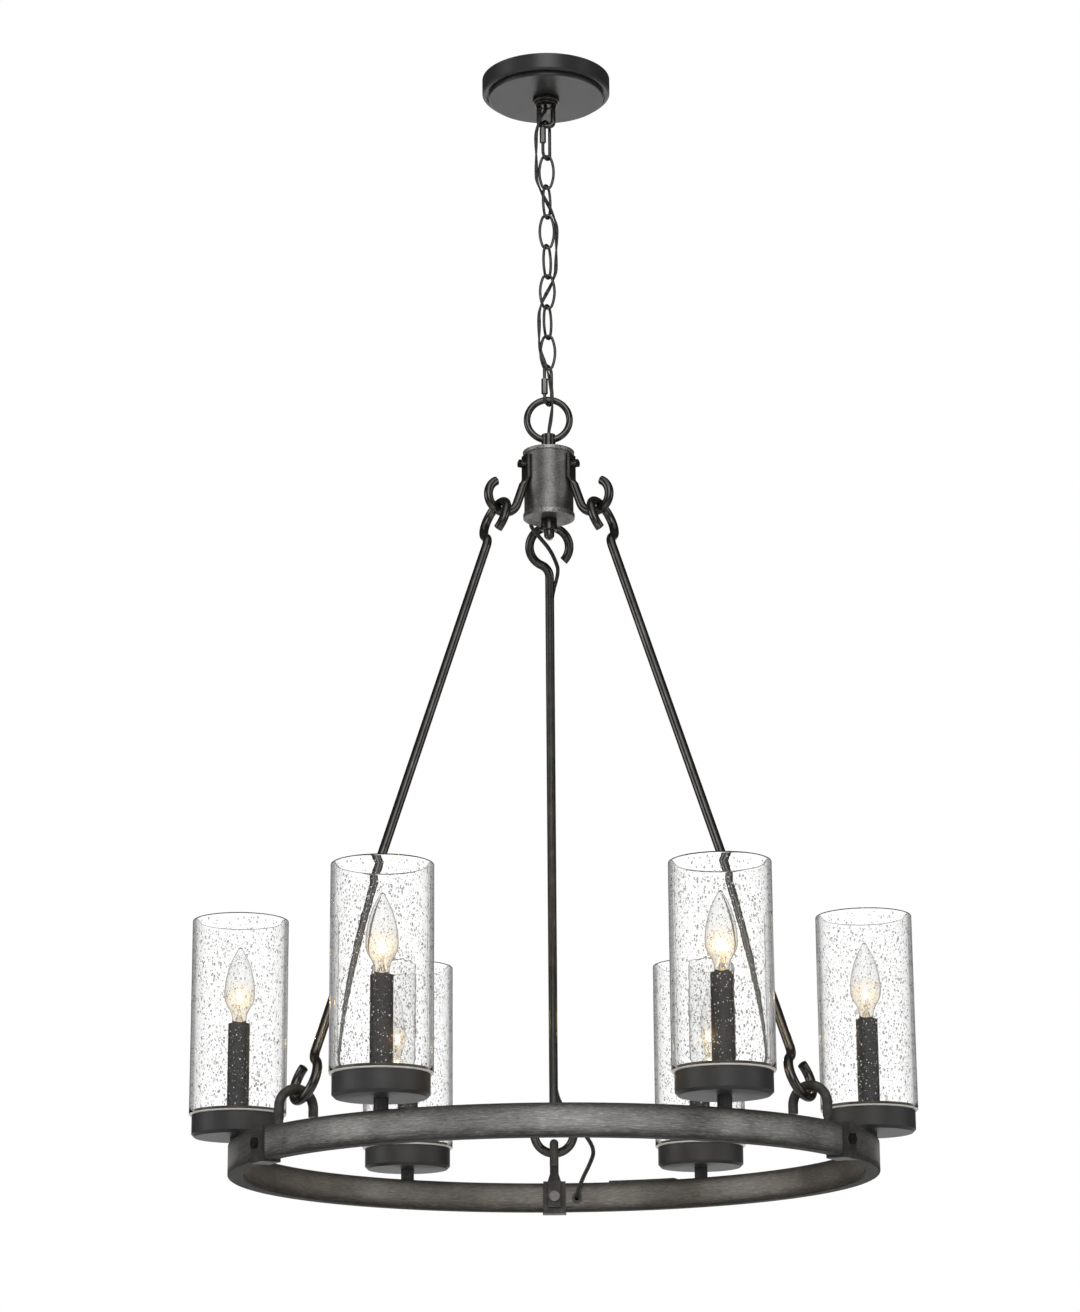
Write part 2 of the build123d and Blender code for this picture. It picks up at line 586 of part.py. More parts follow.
# Hub bolts: a round pin head outside the strap and a hex nut inside the tube
NUT_SEAT = math.sqrt((HUB_RADIUS - HUB_WALL) ** 2 - HUB_NUT_FLATS**2 / 3)
with BuildPart() as hub_bolts:
    for angle in ARM_ANGLES.values():
        with BuildSketch(outward(angle, NUT_SEAT - HUB_NUT_HEIGHT, BOLT_Z)):
            Circle(HUB_BOLT_RADIUS)
        extrude(amount=HUB_NUT_HEIGHT + HUB_RADIUS + STRAP_THICKNESS - NUT_SEAT)
        with BuildSketch(outward(angle, HUB_RADIUS + STRAP_THICKNESS, BOLT_Z)):
            Circle(HUB_PIN_RADIUS)
        extrude(amount=HUB_PIN_LENGTH)
        with BuildSketch(outward(angle, NUT_SEAT, BOLT_Z)):
            RegularPolygon(HUB_NUT_FLATS / 2, 6, major_radius=False)
        extrude(amount=-HUB_NUT_HEIGHT)
save(hub_bolts.part, "hub_bolts")

# Bushing where the feed wire leaves the hub
with BuildPart() as hub_bushing:
    with BuildSketch(outward(HUB_WIRE_ANGLE, HUB_RADIUS - HUB_WALL - BUSHING_FLANGE, WIRE_Z)):
        Circle(BUSHING_RADIUS)
    extrude(amount=HUB_WALL + 2 * BUSHING_FLANGE)
    with BuildSketch(outward(HUB_WIRE_ANGLE, HUB_RADIUS, WIRE_Z)):
        Circle(BUSHING_FLANGE_RADIUS)
    extrude(amount=BUSHING_FLANGE)
    with BuildSketch(outward(HUB_WIRE_ANGLE, 0, WIRE_Z)):
        Circle(BUSHING_BORE_RADIUS)
    extrude(amount=2 * HUB_RADIUS, mode=Mode.SUBTRACT)
save(hub_bushing.part, "hub_bushing")


def rod_plane(name):
    # Plane of a rod: origin at the hub hook's centre, local Y up along the rod, local X sideways
    a = math.radians(ARM_ANGLES[name])
    side = -ARM_SIDES[name]
    along = Vector(
        -math.sin(ROD_LEAN) * math.cos(a), -math.sin(ROD_LEAN) * math.sin(a), math.cos(ROD_LEAN)
    )
    sideways = Vector(-side * math.sin(a), side * math.cos(a), 0)
    place = (HUB_HOOK_OUT * math.cos(a), HUB_HOOK_OUT * math.sin(a), HUB_HOOK_Z)
    return Plane(place, x_dir=sideways, z_dir=sideways.cross(along))


# Rods: a straight bar bent at each end through an S into an open eye
EYE_TOP = -ROD_TOP - EYE_RADIUS
EYE_LOW = -ROD_BOTTOM + EYE_RADIUS
BEND_DROP = math.sqrt(2 * EYE_BEND_RADIUS * EYE_RADIUS + EYE_RADIUS**2)
BEND_TURN = math.degrees(math.acos(EYE_BEND_RADIUS / (EYE_BEND_RADIUS + EYE_RADIUS)))
EYE_TURN = 180 + BEND_TURN - EYE_TIP
for name in ARM_ANGLES:
    with BuildPart() as rod:
        with BuildLine(rod_plane(name)) as run:
            CenterArc((0, EYE_TOP), EYE_RADIUS, EYE_TIP, EYE_TURN)
            CenterArc((-EYE_BEND_RADIUS, EYE_TOP - BEND_DROP), EYE_BEND_RADIUS, BEND_TURN, -BEND_TURN)
            Line((0, EYE_TOP - BEND_DROP), (0, EYE_LOW + BEND_DROP))
            CenterArc((EYE_BEND_RADIUS, EYE_LOW + BEND_DROP), EYE_BEND_RADIUS, 180, BEND_TURN)
            CenterArc((0, EYE_LOW), EYE_RADIUS, BEND_TURN, -EYE_TURN)
        path = run.wire()
        with BuildSketch(across(path)):
            Circle(BAR / 2)
        sweep(path=path)
    save(rod.part, f"rod_{name}")

# Ring: rectangular tube with holes for the lamp pipes, the clip bolts and the feed wire
LAMP_PIPE_FOOT = RING_TOP - 2 * RING_WALL
BOLT_RISE_Z = RING_BOTTOM + CLIP_BOLT_RISE
GROMMET_Z = RING_BOTTOM + GROMMET_RISE
with BuildPart() as ring_tube:
    with BuildSketch(Plane.XZ):
        with Locations((RING_MIDDLE, (RING_TOP + RING_BOTTOM) / 2)):
            RectangleRounded(RING_WIDTH, RING_HEIGHT, RING_EDGE)
            Rectangle(RING_WIDTH - 2 * RING_WALL, RING_HEIGHT - 2 * RING_WALL, mode=Mode.SUBTRACT)
    revolve(axis=Axis.Z)
    with BuildSketch(Plane.XY.offset(RING_TOP)):
        with PolarLocations(RING_MIDDLE, LAMP_COUNT):
            Circle(PIPE_RADIUS + THREAD_GAP)
    extrude(amount=-2 * RING_WALL, mode=Mode.SUBTRACT)
    for angle in ARM_ANGLES.values():
        with BuildSketch(outward(angle, RING_INNER - RING_WALL, BOLT_RISE_Z)):
            Circle(CLIP_BOLT_RADIUS + SLIP_GAP)
        extrude(amount=RING_WIDTH + 2 * RING_WALL, mode=Mode.SUBTRACT)
    with BuildSketch(outward(GROMMET_ANGLE, RING_INNER - RING_WALL, GROMMET_Z)):
        Circle(BUSHING_RADIUS + THREAD_GAP)
    extrude(amount=3 * RING_WALL, mode=Mode.SUBTRACT)
    window_plane = upright(COVER_START + WINDOW_MARGIN)
    with BuildSketch(window_plane):
        with Locations((RING_MIDDLE, RING_TOP)):
            Rectangle(WINDOW_WIDTH, 3 * RING_WALL)
    revolve(
        axis=Axis.Z, revolution_arc=COVER_END - COVER_START - 2 * WINDOW_MARGIN, mode=Mode.SUBTRACT
    )
save(ring_tube.part, "ring_tube")

# Cover over the wiring window in the ring's top
with BuildPart() as wiring_cover:
    with BuildSketch(upright(COVER_START)):
        with Locations((RING_MIDDLE, RING_TOP + COVER_THICKNESS / 2)):
            Rectangle(COVER_WIDTH, COVER_THICKNESS)
    revolve(axis=Axis.Z, revolution_arc=COVER_END - COVER_START)
save(wiring_cover.part, "wiring_cover")

# Clips: a band round the outside, the underside and the inside of the ring
CLIP_TURN = math.degrees(CLIP_WIDTH / RING_MIDDLE)
with BuildPart() as ring_clips:
    for angle in ARM_ANGLES.values():
        with BuildSketch(upright(angle - CLIP_TURN / 2)):
            with BuildLine():
                Polyline(
                    (RING_INNER, RING_TOP + CLIP_RISE),
                    (RING_INNER, RING_BOTTOM),
                    (RING_RADIUS, RING_BOTTOM),
                    (RING_RADIUS, RING_TOP + CLIP_RISE),
                    (RING_RADIUS + CLIP_THICKNESS, RING_TOP + CLIP_RISE),
                    (RING_RADIUS + CLIP_THICKNESS, RING_BOTTOM - CLIP_THICKNESS),
                    (RING_INNER - CLIP_THICKNESS, RING_BOTTOM - CLIP_THICKNESS),
                    (RING_INNER - CLIP_THICKNESS, RING_TOP + CLIP_RISE),
                    close=True,
                )
            make_face()
        revolve(axis=Axis.Z, revolution_arc=CLIP_TURN)
        with BuildSketch(outward(angle, RING_INNER - RING_WIDTH, BOLT_RISE_Z)):
            Circle(CLIP_BOLT_RADIUS + SLIP_GAP)
        extrude(amount=3 * RING_WIDTH, mode=Mode.SUBTRACT)
save(ring_clips.part, "ring_clips")

# Ring hooks: a flattened strap on the clip's inner plate, drawn out into a round open hook
STRAP_BACK = math.sqrt((RING_INNER - CLIP_THICKNESS) ** 2 - (STRAP_WIDTH / 2) ** 2)
STRAP_MIDDLE = STRAP_BACK - STRAP_THICKNESS / 2
RING_STRAP_TOP = RING_TOP + CLIP_RISE
RING_BAR_Z = RING_STRAP_TOP + RING_BAR_RISE
RING_LEG = RING_HOOK_OUT + RING_HOOK_RADIUS
with BuildPart() as ring_hooks:
    for angle in ARM_ANGLES.values():
        with BuildLine(upright(angle)) as run:
            Line((RING_LEG, RING_BAR_Z), (RING_LEG, RING_HOOK_Z))
            CenterArc((RING_HOOK_OUT, RING_HOOK_Z), RING_HOOK_RADIUS, 0, 180)
            Line(
                (RING_HOOK_OUT - RING_HOOK_RADIUS, RING_HOOK_Z),
                (RING_HOOK_OUT - RING_HOOK_RADIUS, RING_HOOK_Z - RING_HOOK_TIP),
            )
        path = run.wire()
        with BuildSketch(across(path)):
            Circle(BAR / 2)
        sweep(path=path)
        level = upright(angle, RING_STRAP_TOP, STRAP_MIDDLE)
        head = Plane(level.origin, x_dir=level.x_dir, z_dir=(0, 0, 1))
        with BuildSketch(head):
            RectangleRounded(STRAP_THICKNESS, STRAP_WIDTH, STRAP_EDGE)
        extrude(amount=RING_BOTTOM + RING_STRAP_FOOT - RING_STRAP_TOP)
        with BuildSketch(head):
            RectangleRounded(STRAP_THICKNESS, STRAP_WIDTH, STRAP_EDGE)
        bar_end = upright(angle, RING_BAR_Z, RING_LEG)
        with BuildSketch(Plane(bar_end.origin, x_dir=level.x_dir, z_dir=(0, 0, 1))):
            Circle(BAR / 2)
        loft()
        with BuildSketch(outward(angle, RING_INNER - RING_WIDTH, BOLT_RISE_Z)):
            Circle(CLIP_BOLT_RADIUS + SLIP_GAP)
        extrude(amount=2 * RING_WIDTH, mode=Mode.SUBTRACT)
save(ring_hooks.part, "ring_hooks")

# Clip bolts: a hex head outside, a shank through the tube and a round end on the strap
STRAP_FRONT = STRAP_BACK - STRAP_THICKNESS
HEAD_SEAT = RING_RADIUS + CLIP_THICKNESS
with BuildPart() as clip_bolts:
    for angle in ARM_ANGLES.values():
        with BuildSketch(outward(angle, STRAP_FRONT, BOLT_RISE_Z)):
            Circle(CLIP_BOLT_RADIUS)
        extrude(amount=HEAD_SEAT - STRAP_FRONT)
        with BuildSketch(outward(angle, HEAD_SEAT, BOLT_RISE_Z)):
            RegularPolygon(CLIP_HEAD_FLATS / 2, 6, major_radius=False)
        extrude(amount=CLIP_HEAD_HEIGHT)
        with BuildSketch(outward(angle, STRAP_FRONT, BOLT_RISE_Z)):
            Circle(CLIP_END_RADIUS)
        extrude(amount=-CLIP_END_HEIGHT)
save(clip_bolts.part, "clip_bolts")

# Grommet where the feed wire goes into the ring
GROMMET_SEAT = math.sqrt(RING_INNER**2 - BUSHING_FLANGE_RADIUS**2)
with BuildPart() as ring_grommet:
    with BuildSketch(outward(GROMMET_ANGLE, GROMMET_SEAT - BUSHING_FLANGE, GROMMET_Z)):
        Circle(BUSHING_RADIUS)
    extrude(amount=BUSHING_FLANGE + RING_WALL)
    with BuildSketch(outward(GROMMET_ANGLE, GROMMET_SEAT, GROMMET_Z)):
        Circle(BUSHING_FLANGE_RADIUS)
    extrude(amount=-BUSHING_FLANGE)
    with BuildSketch(outward(GROMMET_ANGLE, RING_INNER - RING_WALL, GROMMET_Z)):
        Circle(BUSHING_BORE_RADIUS)
    extrude(amount=3 * RING_WALL, mode=Mode.SUBTRACT)
save(ring_grommet.part, "ring_grommet")

# Lamp stems: spacers between the ring and the cups
with BuildPart() as lamp_stems:
    with BuildSketch(Plane.XY.offset(RING_TOP)):
        with PolarLocations(RING_MIDDLE, LAMP_COUNT):
            Circle(STEM_RADIUS)
            Circle(PIPE_RADIUS + SLIP_GAP, mode=Mode.SUBTRACT)
    extrude(amount=STEM_HEIGHT)
save(lamp_stems.part, "lamp_stems")

# Lamp pipes: threaded pipes from the ring, through stem and cup, up to the sockets
PIPE_HEAD = SOCKET_BOTTOM + SOCKET_FLOOR / 2
with BuildPart() as lamp_pipes:
    with BuildSketch(Plane.XY.offset(LAMP_PIPE_FOOT)):
        with PolarLocations(RING_MIDDLE, LAMP_COUNT):
            Circle(PIPE_RADIUS)
            Circle(PIPE_BORE_RADIUS, mode=Mode.SUBTRACT)
    extrude(amount=PIPE_HEAD - LAMP_PIPE_FOOT)
save(lamp_pipes.part, "lamp_pipes")

# Sockets at the top of the candle tubes
with BuildPart() as lamp_sockets:
    with BuildSketch(Plane.XY.offset(SOCKET_BOTTOM)):
        with PolarLocations(RING_MIDDLE, LAMP_COUNT):
            Circle(SOCKET_RADIUS)
    extrude(amount=SOCKET_HEIGHT)
    with BuildSketch(Plane.XY.offset(SOCKET_BOTTOM)):
        with PolarLocations(RING_MIDDLE, LAMP_COUNT):
            Circle(PIPE_RADIUS + THREAD_GAP)
    extrude(amount=SOCKET_FLOOR / 2, mode=Mode.SUBTRACT)
    with BuildSketch(Plane.XY.offset(SOCKET_TOP)):
        with PolarLocations(RING_MIDDLE, LAMP_COUNT):
            Circle(BULB_BASE_RADIUS + BULB_GAP)
    extrude(amount=-SOCKET_BORE, mode=Mode.SUBTRACT)
save(lamp_sockets.part, "lamp_sockets")

# Candle tubes round the sockets
with BuildPart() as candle_tubes:
    with BuildSketch(Plane.XY.offset(CUP_FLOOR)):
        with PolarLocations(RING_MIDDLE, LAMP_COUNT):
            Circle(TUBE_RADIUS)
            Circle(TUBE_INNER, mode=Mode.SUBTRACT)
    extrude(amount=TUBE_HEIGHT)
save(candle_tubes.part, "candle_tubes")

# Cups, glass cylinders and bulbs, one of each for every lamp
LIP_OUTER = GLASS_INNER - GLASS_GAP
LIP_INNER = LIP_OUTER - CUP_SHEET
LIP_TOP = GLASS_BOTTOM + CUP_LIP_HEIGHT
BULB_BELLY_Z = BULB_Z + BULB_BELLY
BULB_TOP = BULB_Z + BULB_LENGTH
NECK_TOP = BULB_Z + BULB_NECK


def bulb_outline(inset):
    # Half outline of the envelope from its neck to its tip, as points on an upright plane
    neck = BULB_NECK_RADIUS - inset
    belly = BULB_RADIUS - inset
    return (
        (neck, BULB_Z),
        (neck, NECK_TOP),
        ((neck + belly) / 2, (NECK_TOP + BULB_BELLY_Z) / 2),
        (belly, BULB_BELLY_Z),
        (BULB_TIP_RADIUS - inset / 2, BULB_TOP - BULB_TIP_RADIUS - inset / 2),
        (0, BULB_TOP - inset),
    )


for number in range(1, LAMP_COUNT + 1):
    lamp = upright((number - 1) * 360 / LAMP_COUNT, 0, RING_MIDDLE)
    centre = Axis(lamp.origin, (0, 0, 1))
    with BuildPart() as cup:
        with BuildSketch(lamp):
            with BuildLine():
                Polyline(
                    (PIPE_RADIUS + SLIP_GAP, CUP_BOTTOM),
                    (CUP_RADIUS - CUP_EDGE, CUP_BOTTOM),
                    (CUP_RADIUS, CUP_BOTTOM + CUP_EDGE),
                    (CUP_RADIUS, GLASS_BOTTOM),
                    (LIP_OUTER, GLASS_BOTTOM),
                    (LIP_OUTER, LIP_TOP),
                    (LIP_INNER, LIP_TOP),
                    (LIP_INNER, CUP_FLOOR),
                    (PIPE_RADIUS + SLIP_GAP, CUP_FLOOR),
                    close=True,
                )
            make_face()
        revolve(axis=centre)
    save(cup.part, f"cup_{number}")
    with BuildPart() as glass:
        with BuildSketch(lamp):
            with Locations(((GLASS_RADIUS + GLASS_INNER) / 2, GLASS_BOTTOM + GLASS_HEIGHT / 2)):
                RectangleRounded(GLASS_WALL, GLASS_HEIGHT, GLASS_EDGE)
        revolve(axis=centre)
    save(glass.part, f"glass_{number}")
    with BuildPart() as bulb:
        for inset, mode in ((0, Mode.ADD), (BULB_WALL, Mode.SUBTRACT)):
            with BuildSketch(lamp):
                with BuildLine():
                    neck, shoulder, waist, belly, crown, tip = bulb_outline(inset)
                    Line((0, BULB_Z), neck)
                    Line(neck, shoulder)
                    TangentArc(shoulder, waist, tangent=(0, 1))
                    TangentArc(belly, waist, tangent=(0, -1))
                    TangentArc(belly, crown, tangent=(0, 1))
                    TangentArc(tip, crown, tangent=(1, 0))
                    Line(tip, (0, BULB_Z))
                make_face()
            revolve(axis=centre, mode=mode)
        with BuildSketch(lamp):
            with BuildLine():
                Polyline(
                    (0, BULB_Z),
                    (BULB_NECK_RADIUS, BULB_Z),
                    (BULB_NECK_RADIUS, BULB_Z - BULB_LIFT),
                    (BULB_BASE_RADIUS, BULB_Z - BULB_LIFT),
                    (BULB_BASE_RADIUS, BULB_Z - BULB_BASE_LENGTH),
                    (0, BULB_Z - BULB_BASE_LENGTH),
                    close=True,
                )
            make_face()
        revolve(axis=centre)
    save(bulb.part, f"bulb_{number}")


def run_cord(points, radius, name):
    with BuildPart() as cord:
        radii = soft_corners(points)
        with BuildLine() as run:
            FilletPolyline(*points, radius=radii)
        path = run.wire()
        print(f"{name}: {path.length:.0f} mm long, bend radii", [round(bend) for bend in radii])
        with BuildSketch(across(path)):
            Circle(radius)
        sweep(path=path)
    save(cord.part, name)


def beside_chain(angle, z):
    # Point that clears the links' sides, in a direction seen from above
    out = (LINK_WIDTH + LINK_WIRE) / 2 + CORD_RADIUS + CORD_GAP
    return (out * math.cos(math.radians(angle)), out * math.sin(math.radians(angle)), z)


# Supply cord: down the canopy pipe, woven through the chain and into the hub's coupling
FIRST_CROSSING = LINK_TWIST - CORD_CROSSING
run_cord(
    [
        (0, 0, -CROSSBAR_THICKNESS),
        (0, 0, -SHANK_BOTTOM - CORD_RADIUS),
        (*STIRRUP_FRONT, STIRRUP_BAR_TOP + STIRRUP_BAR),
        (*STIRRUP_SIDE, -STIRRUP_BOTTOM - STIRRUP_BAR),
        beside_chain(FIRST_CROSSING + 180, link_z(1)),
        beside_chain(FIRST_CROSSING + 180, link_z(2) + CORD_WEAVE),
        beside_chain(FIRST_CROSSING, link_z(2) - CORD_WEAVE),
        beside_chain(CORD_CROSSING, link_z(5) + CORD_WEAVE),
        beside_chain(CORD_CROSSING + 180, link_z(5) - CORD_WEAVE),
        beside_chain(CORD_CROSSING + 180, link_z(7)),
        (*LINK_FRONT, link_z(7) - LINK_HEIGHT / 2),
        (*LOOP_FRONT, LOOP_BAR_Z),
        (*LOOP_INSIDE, LOOP_Z),
        (0, 0, COUPLING_TOP + CORD_RADIUS),
        (0, 0, HUB_TOP - CORD_TAIL),
    ],
    CORD_RADIUS,
    "supply_cord",
)

# Feed wire: out of the hub's side, through the back rod's upper eye, down behind that rod and into the ring
hub_exit = outward(HUB_WIRE_ANGLE, 0, WIRE_Z)
ring_entry = outward(GROMMET_ANGLE, 0, GROMMET_Z)
back_rod = rod_plane("back")
BEHIND = -BAR / 2 - FEED_RADIUS - CORD_GAP
beside_rod = [
    *FEED_TOP_STOPS,
    (FEED_SIDE, EYE_TOP - BEND_DROP - EYE_RADIUS, BEHIND),
    (FEED_SIDE, EYE_LOW + BEND_DROP + EYE_RADIUS, BEHIND),
    *[(x, EYE_LOW + y, z) for x, y, z in FEED_LOW_STOPS],
]
run_cord(
    [
        hub_exit.from_local_coords((0, 0, FEED_TAIL)),
        hub_exit.from_local_coords((0, 0, HUB_RADIUS + BUSHING_FLANGE_RADIUS)),
        *[back_rod.from_local_coords(point) for point in beside_rod],
        ring_entry.from_local_coords((0, 0, RING_INNER - BUSHING_FLANGE_RADIUS)),
        ring_entry.from_local_coords((0, 0, RING_INNER + 2 * RING_WALL)),
    ],
    FEED_RADIUS,
    "feed_wire",
)
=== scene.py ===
import json
import math
import random

import bmesh
import bpy
import numpy as np
from mathutils import Matrix, Vector


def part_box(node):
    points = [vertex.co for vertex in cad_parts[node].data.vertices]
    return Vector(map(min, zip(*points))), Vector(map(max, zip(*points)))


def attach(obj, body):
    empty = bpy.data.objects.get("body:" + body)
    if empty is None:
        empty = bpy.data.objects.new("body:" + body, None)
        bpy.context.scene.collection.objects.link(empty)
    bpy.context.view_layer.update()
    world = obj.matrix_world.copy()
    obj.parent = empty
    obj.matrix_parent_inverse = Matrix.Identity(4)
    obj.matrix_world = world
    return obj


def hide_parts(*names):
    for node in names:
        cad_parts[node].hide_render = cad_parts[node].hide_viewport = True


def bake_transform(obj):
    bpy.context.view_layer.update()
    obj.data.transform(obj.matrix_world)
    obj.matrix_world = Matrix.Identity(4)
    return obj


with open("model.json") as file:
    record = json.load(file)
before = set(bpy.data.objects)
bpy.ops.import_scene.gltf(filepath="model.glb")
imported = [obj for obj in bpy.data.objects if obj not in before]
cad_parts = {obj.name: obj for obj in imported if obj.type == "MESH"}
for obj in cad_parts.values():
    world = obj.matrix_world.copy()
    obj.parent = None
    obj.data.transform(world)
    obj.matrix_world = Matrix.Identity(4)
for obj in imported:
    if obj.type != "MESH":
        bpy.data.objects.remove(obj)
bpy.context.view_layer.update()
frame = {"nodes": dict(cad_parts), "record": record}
nodes = frame["nodes"]

LAMPS = range(1, 7)
MM = 0.001
ENVELOPE_HEIGHT = 79 * MM
BULB_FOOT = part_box("bulb_1")[1].z - ENVELOPE_HEIGHT
GLASS_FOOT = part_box("glass_1")[0].z
RING_FOOT, RING_TOP = (corner.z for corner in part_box("ring_tube"))
RING_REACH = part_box("ring_tube")[1].x
HUB_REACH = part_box("hub_cap")[1].x


# Node materials: a small helper that adds nodes and joins their sockets


class Shader:
    def __init__(self, name, kind="Material"):
        store = bpy.data.worlds if kind == "World" else bpy.data.materials
        self.made = store.new(name)
        self.made.use_nodes = True
        self.tree = self.made.node_tree
        self.tree.nodes.clear()
        self.out = self.tree.nodes.new("ShaderNodeOutput" + kind)

    def put(self, socket, value):
        if isinstance(value, bpy.types.NodeSocket):
            self.tree.links.new(value, socket)
        else:
            socket.default_value = value

    def add(self, kind, settings=None, **inputs):
        made = self.tree.nodes.new("ShaderNode" + kind)
        for key, value in (settings or {}).items():
            setattr(made, key, value)
        for key, value in inputs.items():
            self.put(made.inputs[key.replace("_", " ")], value)
        return made

    def math(self, operation, first, second=0.0):
        made = self.tree.nodes.new("ShaderNodeMath")
        made.operation = operation
        self.put(made.inputs[0], first)
        self.put(made.inputs[1], second)
        return made.outputs[0]

    def times(self, first, second):
        return self.math("MULTIPLY", first, second)

    def weigh(self, *parts):
        # Sum of values, each times its weight
        total = None
        for value, weight in parts:
            share = self.times(value, weight)
            total = share if total is None else self.math("ADD", total, share)
        return total

    def less(self, value, share):
        # 1, less a share of the value
        return self.math("SUBTRACT", 1.0, self.times(value, share))

    def place(self):
        # The piece's own coordinates: metres of the shared frame, with the object at rest
        return self.add("TexCoord").outputs["Object"]

    def axes(self):
        return self.add("SeparateXYZ", Vector=self.place()).outputs

    def radius(self, x, y):
        # Distance from the Z axis
        return self.math("SQRT", self.math("ADD", self.times(x, x), self.times(y, y)))

    def noise(self, vector, scale, detail=3.0, rough=0.55):
        made = self.add("TexNoise", Vector=vector, Scale=scale, Detail=detail, Roughness=rough)
        return made.outputs["Fac"]

    def stretched(self, across, up):
        # Coordinates round the Z axis, stretched so that noise runs in streaks round it
        x, y, z = self.axes()
        height = self.math("ADD", z, self.radius(x, y))
        made = self.add(
            "CombineXYZ",
            X=self.times(x, across),
            Y=self.times(y, across),
            Z=self.times(height, up),
        )
        return made.outputs[0]

    def ramp(self, value, *stops):
        made = self.add("ValToRGB", Fac=value)
        points = made.color_ramp.elements
        while len(points) < len(stops):
            points.new(0.5)
        for point, (at, colour) in zip(points, stops):
            point.position = at
            point.color = (*colour, 1)
        return made.outputs["Color"]

    def mix(self, share, first, second):
        made = self.tree.nodes.new("ShaderNodeMix")
        made.data_type = "RGBA"
        self.put(made.inputs["Factor"], share)
        self.put(made.inputs[6], first)
        self.put(made.inputs[7], second)
        return made.outputs[2]

    def spread(self, value, low, high):
        made = self.add("MapRange", Value=value)
        made.inputs["To Min"].default_value = low
        made.inputs["To Max"].default_value = high
        return made.outputs[0]

    def step(self, value, start, end):
        # Soft step from 0 at start to 1 at end
        made = self.add("MapRange", {"interpolation_type": "SMOOTHSTEP"}, Value=value)
        made.inputs["From Min"].default_value = start
        made.inputs["From Max"].default_value = end
        return made.outputs[0]

    def dot(self, vector, direction):
        made = self.tree.nodes.new("ShaderNodeVectorMath")
        made.operation = "DOT_PRODUCT"
        self.put(made.inputs[0], vector)
        self.put(made.inputs[1], Vector(direction).normalized())
        return made.outputs["Value"]

    def bump(self, height, strength, distance):
        return self.add("Bump", Height=height, Strength=strength, Distance=distance).outputs["Normal"]

    def surface(self, shader):
        self.tree.links.new(shader, self.out.inputs["Surface"])
        return self.made

    def principled(self, **inputs):
        return self.surface(self.add("BsdfPrincipled", **inputs).outputs[0])


# Pale bare metal: painted highlight along the ring's middle, and real wear on the hub's cap rims
WORN_AND_HIGHLIGHT_METAL = (0.46, 0.45, 0.43, 1)
# Painted shade along the ring's upper and lower edge
EDGE_SHADE_TONE = (0.022, 0.0208, 0.0190, 1)
INSIDE_TONE = (0.095, 0.0868, 0.0715, 1)
PAINT_TONES = (0.017, 0.0168, 0.0170), (0.025, 0.0247, 0.0247)
# Painted amber glow at the foot of the glasses
AMBER_FOOT_GLOW = (0.86, 0.75, 0.58, 1)
CLEAR_PASS = (0.97, 0.97, 0.965, 1)
SMOKE_TONE = (0.50, 0.50, 0.495, 1)

# Places of wear, tint, and painted light and shade, in metres

# How far the painted shade reaches in from the ring's upper and lower edge, and how far streaks shift that
UPPER_SHADE, LOWER_SHADE, SHADE_SHIFT = 0.0100, 0.0118, 0.006
# How far the ring's painted highlight, a lighter band round its middle, sits below its middle
HIGHLIGHT_DROP = 0.002
# How far in from the ring's outside the tone of its inner wall starts, and where it is full
INNER_START, INNER_FULL = 0.012, 0.016
# How far in from the hub caps' reach their worn rim starts, and where it is full
HUB_RIM_START, HUB_RIM_FULL = 0.0016, 0.0002
# Heights over which the bulbs' painted warm glow comes in at its foot and goes out at its top
GLOW_RISE, GLOW_FALL = 0.012, 0.026
# Heights above a glass's foot where its painted amber glow ends, and below which it is full
AMBER_GLOW_END, AMBER_GLOW_FULL = 0.0050, 0.0020


def canopy_paint():
    s = Shader("canopy_paint")
    fine = s.noise(s.place(), 900, 4)
    broad = s.noise(s.place(), 22, 3)
    return s.principled(
        Base_Color=s.ramp(broad, (0.3, (0.016, 0.0158, 0.0158)), (0.7, (0.023, 0.0227, 0.0225))),
        Roughness=s.spread(broad, 0.30, 0.40),
        Normal=s.bump(fine, 0.06, 0.0004),
        Specular_IOR_Level=0.4,
        Coat_Weight=0.08,
        Coat_Roughness=0.2,
    )


def dark_bronze():
    s = Shader("dark_bronze")
    broad = s.noise(s.place(), 45, 4)
    fine = s.noise(s.place(), 420, 4)
    colour = s.ramp(
        s.weigh((broad, 0.65), (fine, 0.35)),
        (0.34, (0.048, 0.0467, 0.0446)),
        (0.52, (0.068, 0.0655, 0.0618)),
        (0.68, (0.108, 0.1030, 0.0956)),
    )
    return s.principled(
        Base_Color=colour,
        Roughness=s.spread(fine, 0.19, 0.28),
        Normal=s.bump(fine, 0.035, 0.0004),
        Metallic=0.9,
    )


def black_iron():
    # Dull black coat on flat straps, rubbed a little in places
    s = Shader("black_iron")
    broad = s.noise(s.place(), 120, 4)
    fine = s.noise(s.place(), 900, 3)
    tone = s.weigh((broad, 0.6), (fine, 0.4))
    colour = s.ramp(
        tone,
        (0.36, (0.026, 0.0255, 0.0245)),
        (0.52, (0.042, 0.0410, 0.0393)),
        (0.68, (0.076, 0.0730, 0.0684)),
    )
    return s.principled(
        Base_Color=colour,
        Roughness=s.spread(fine, 0.44, 0.60),
        Normal=s.bump(tone, 0.12, 0.0004),
        Metallic=0.3,
        Specular_IOR_Level=0.3,
    )


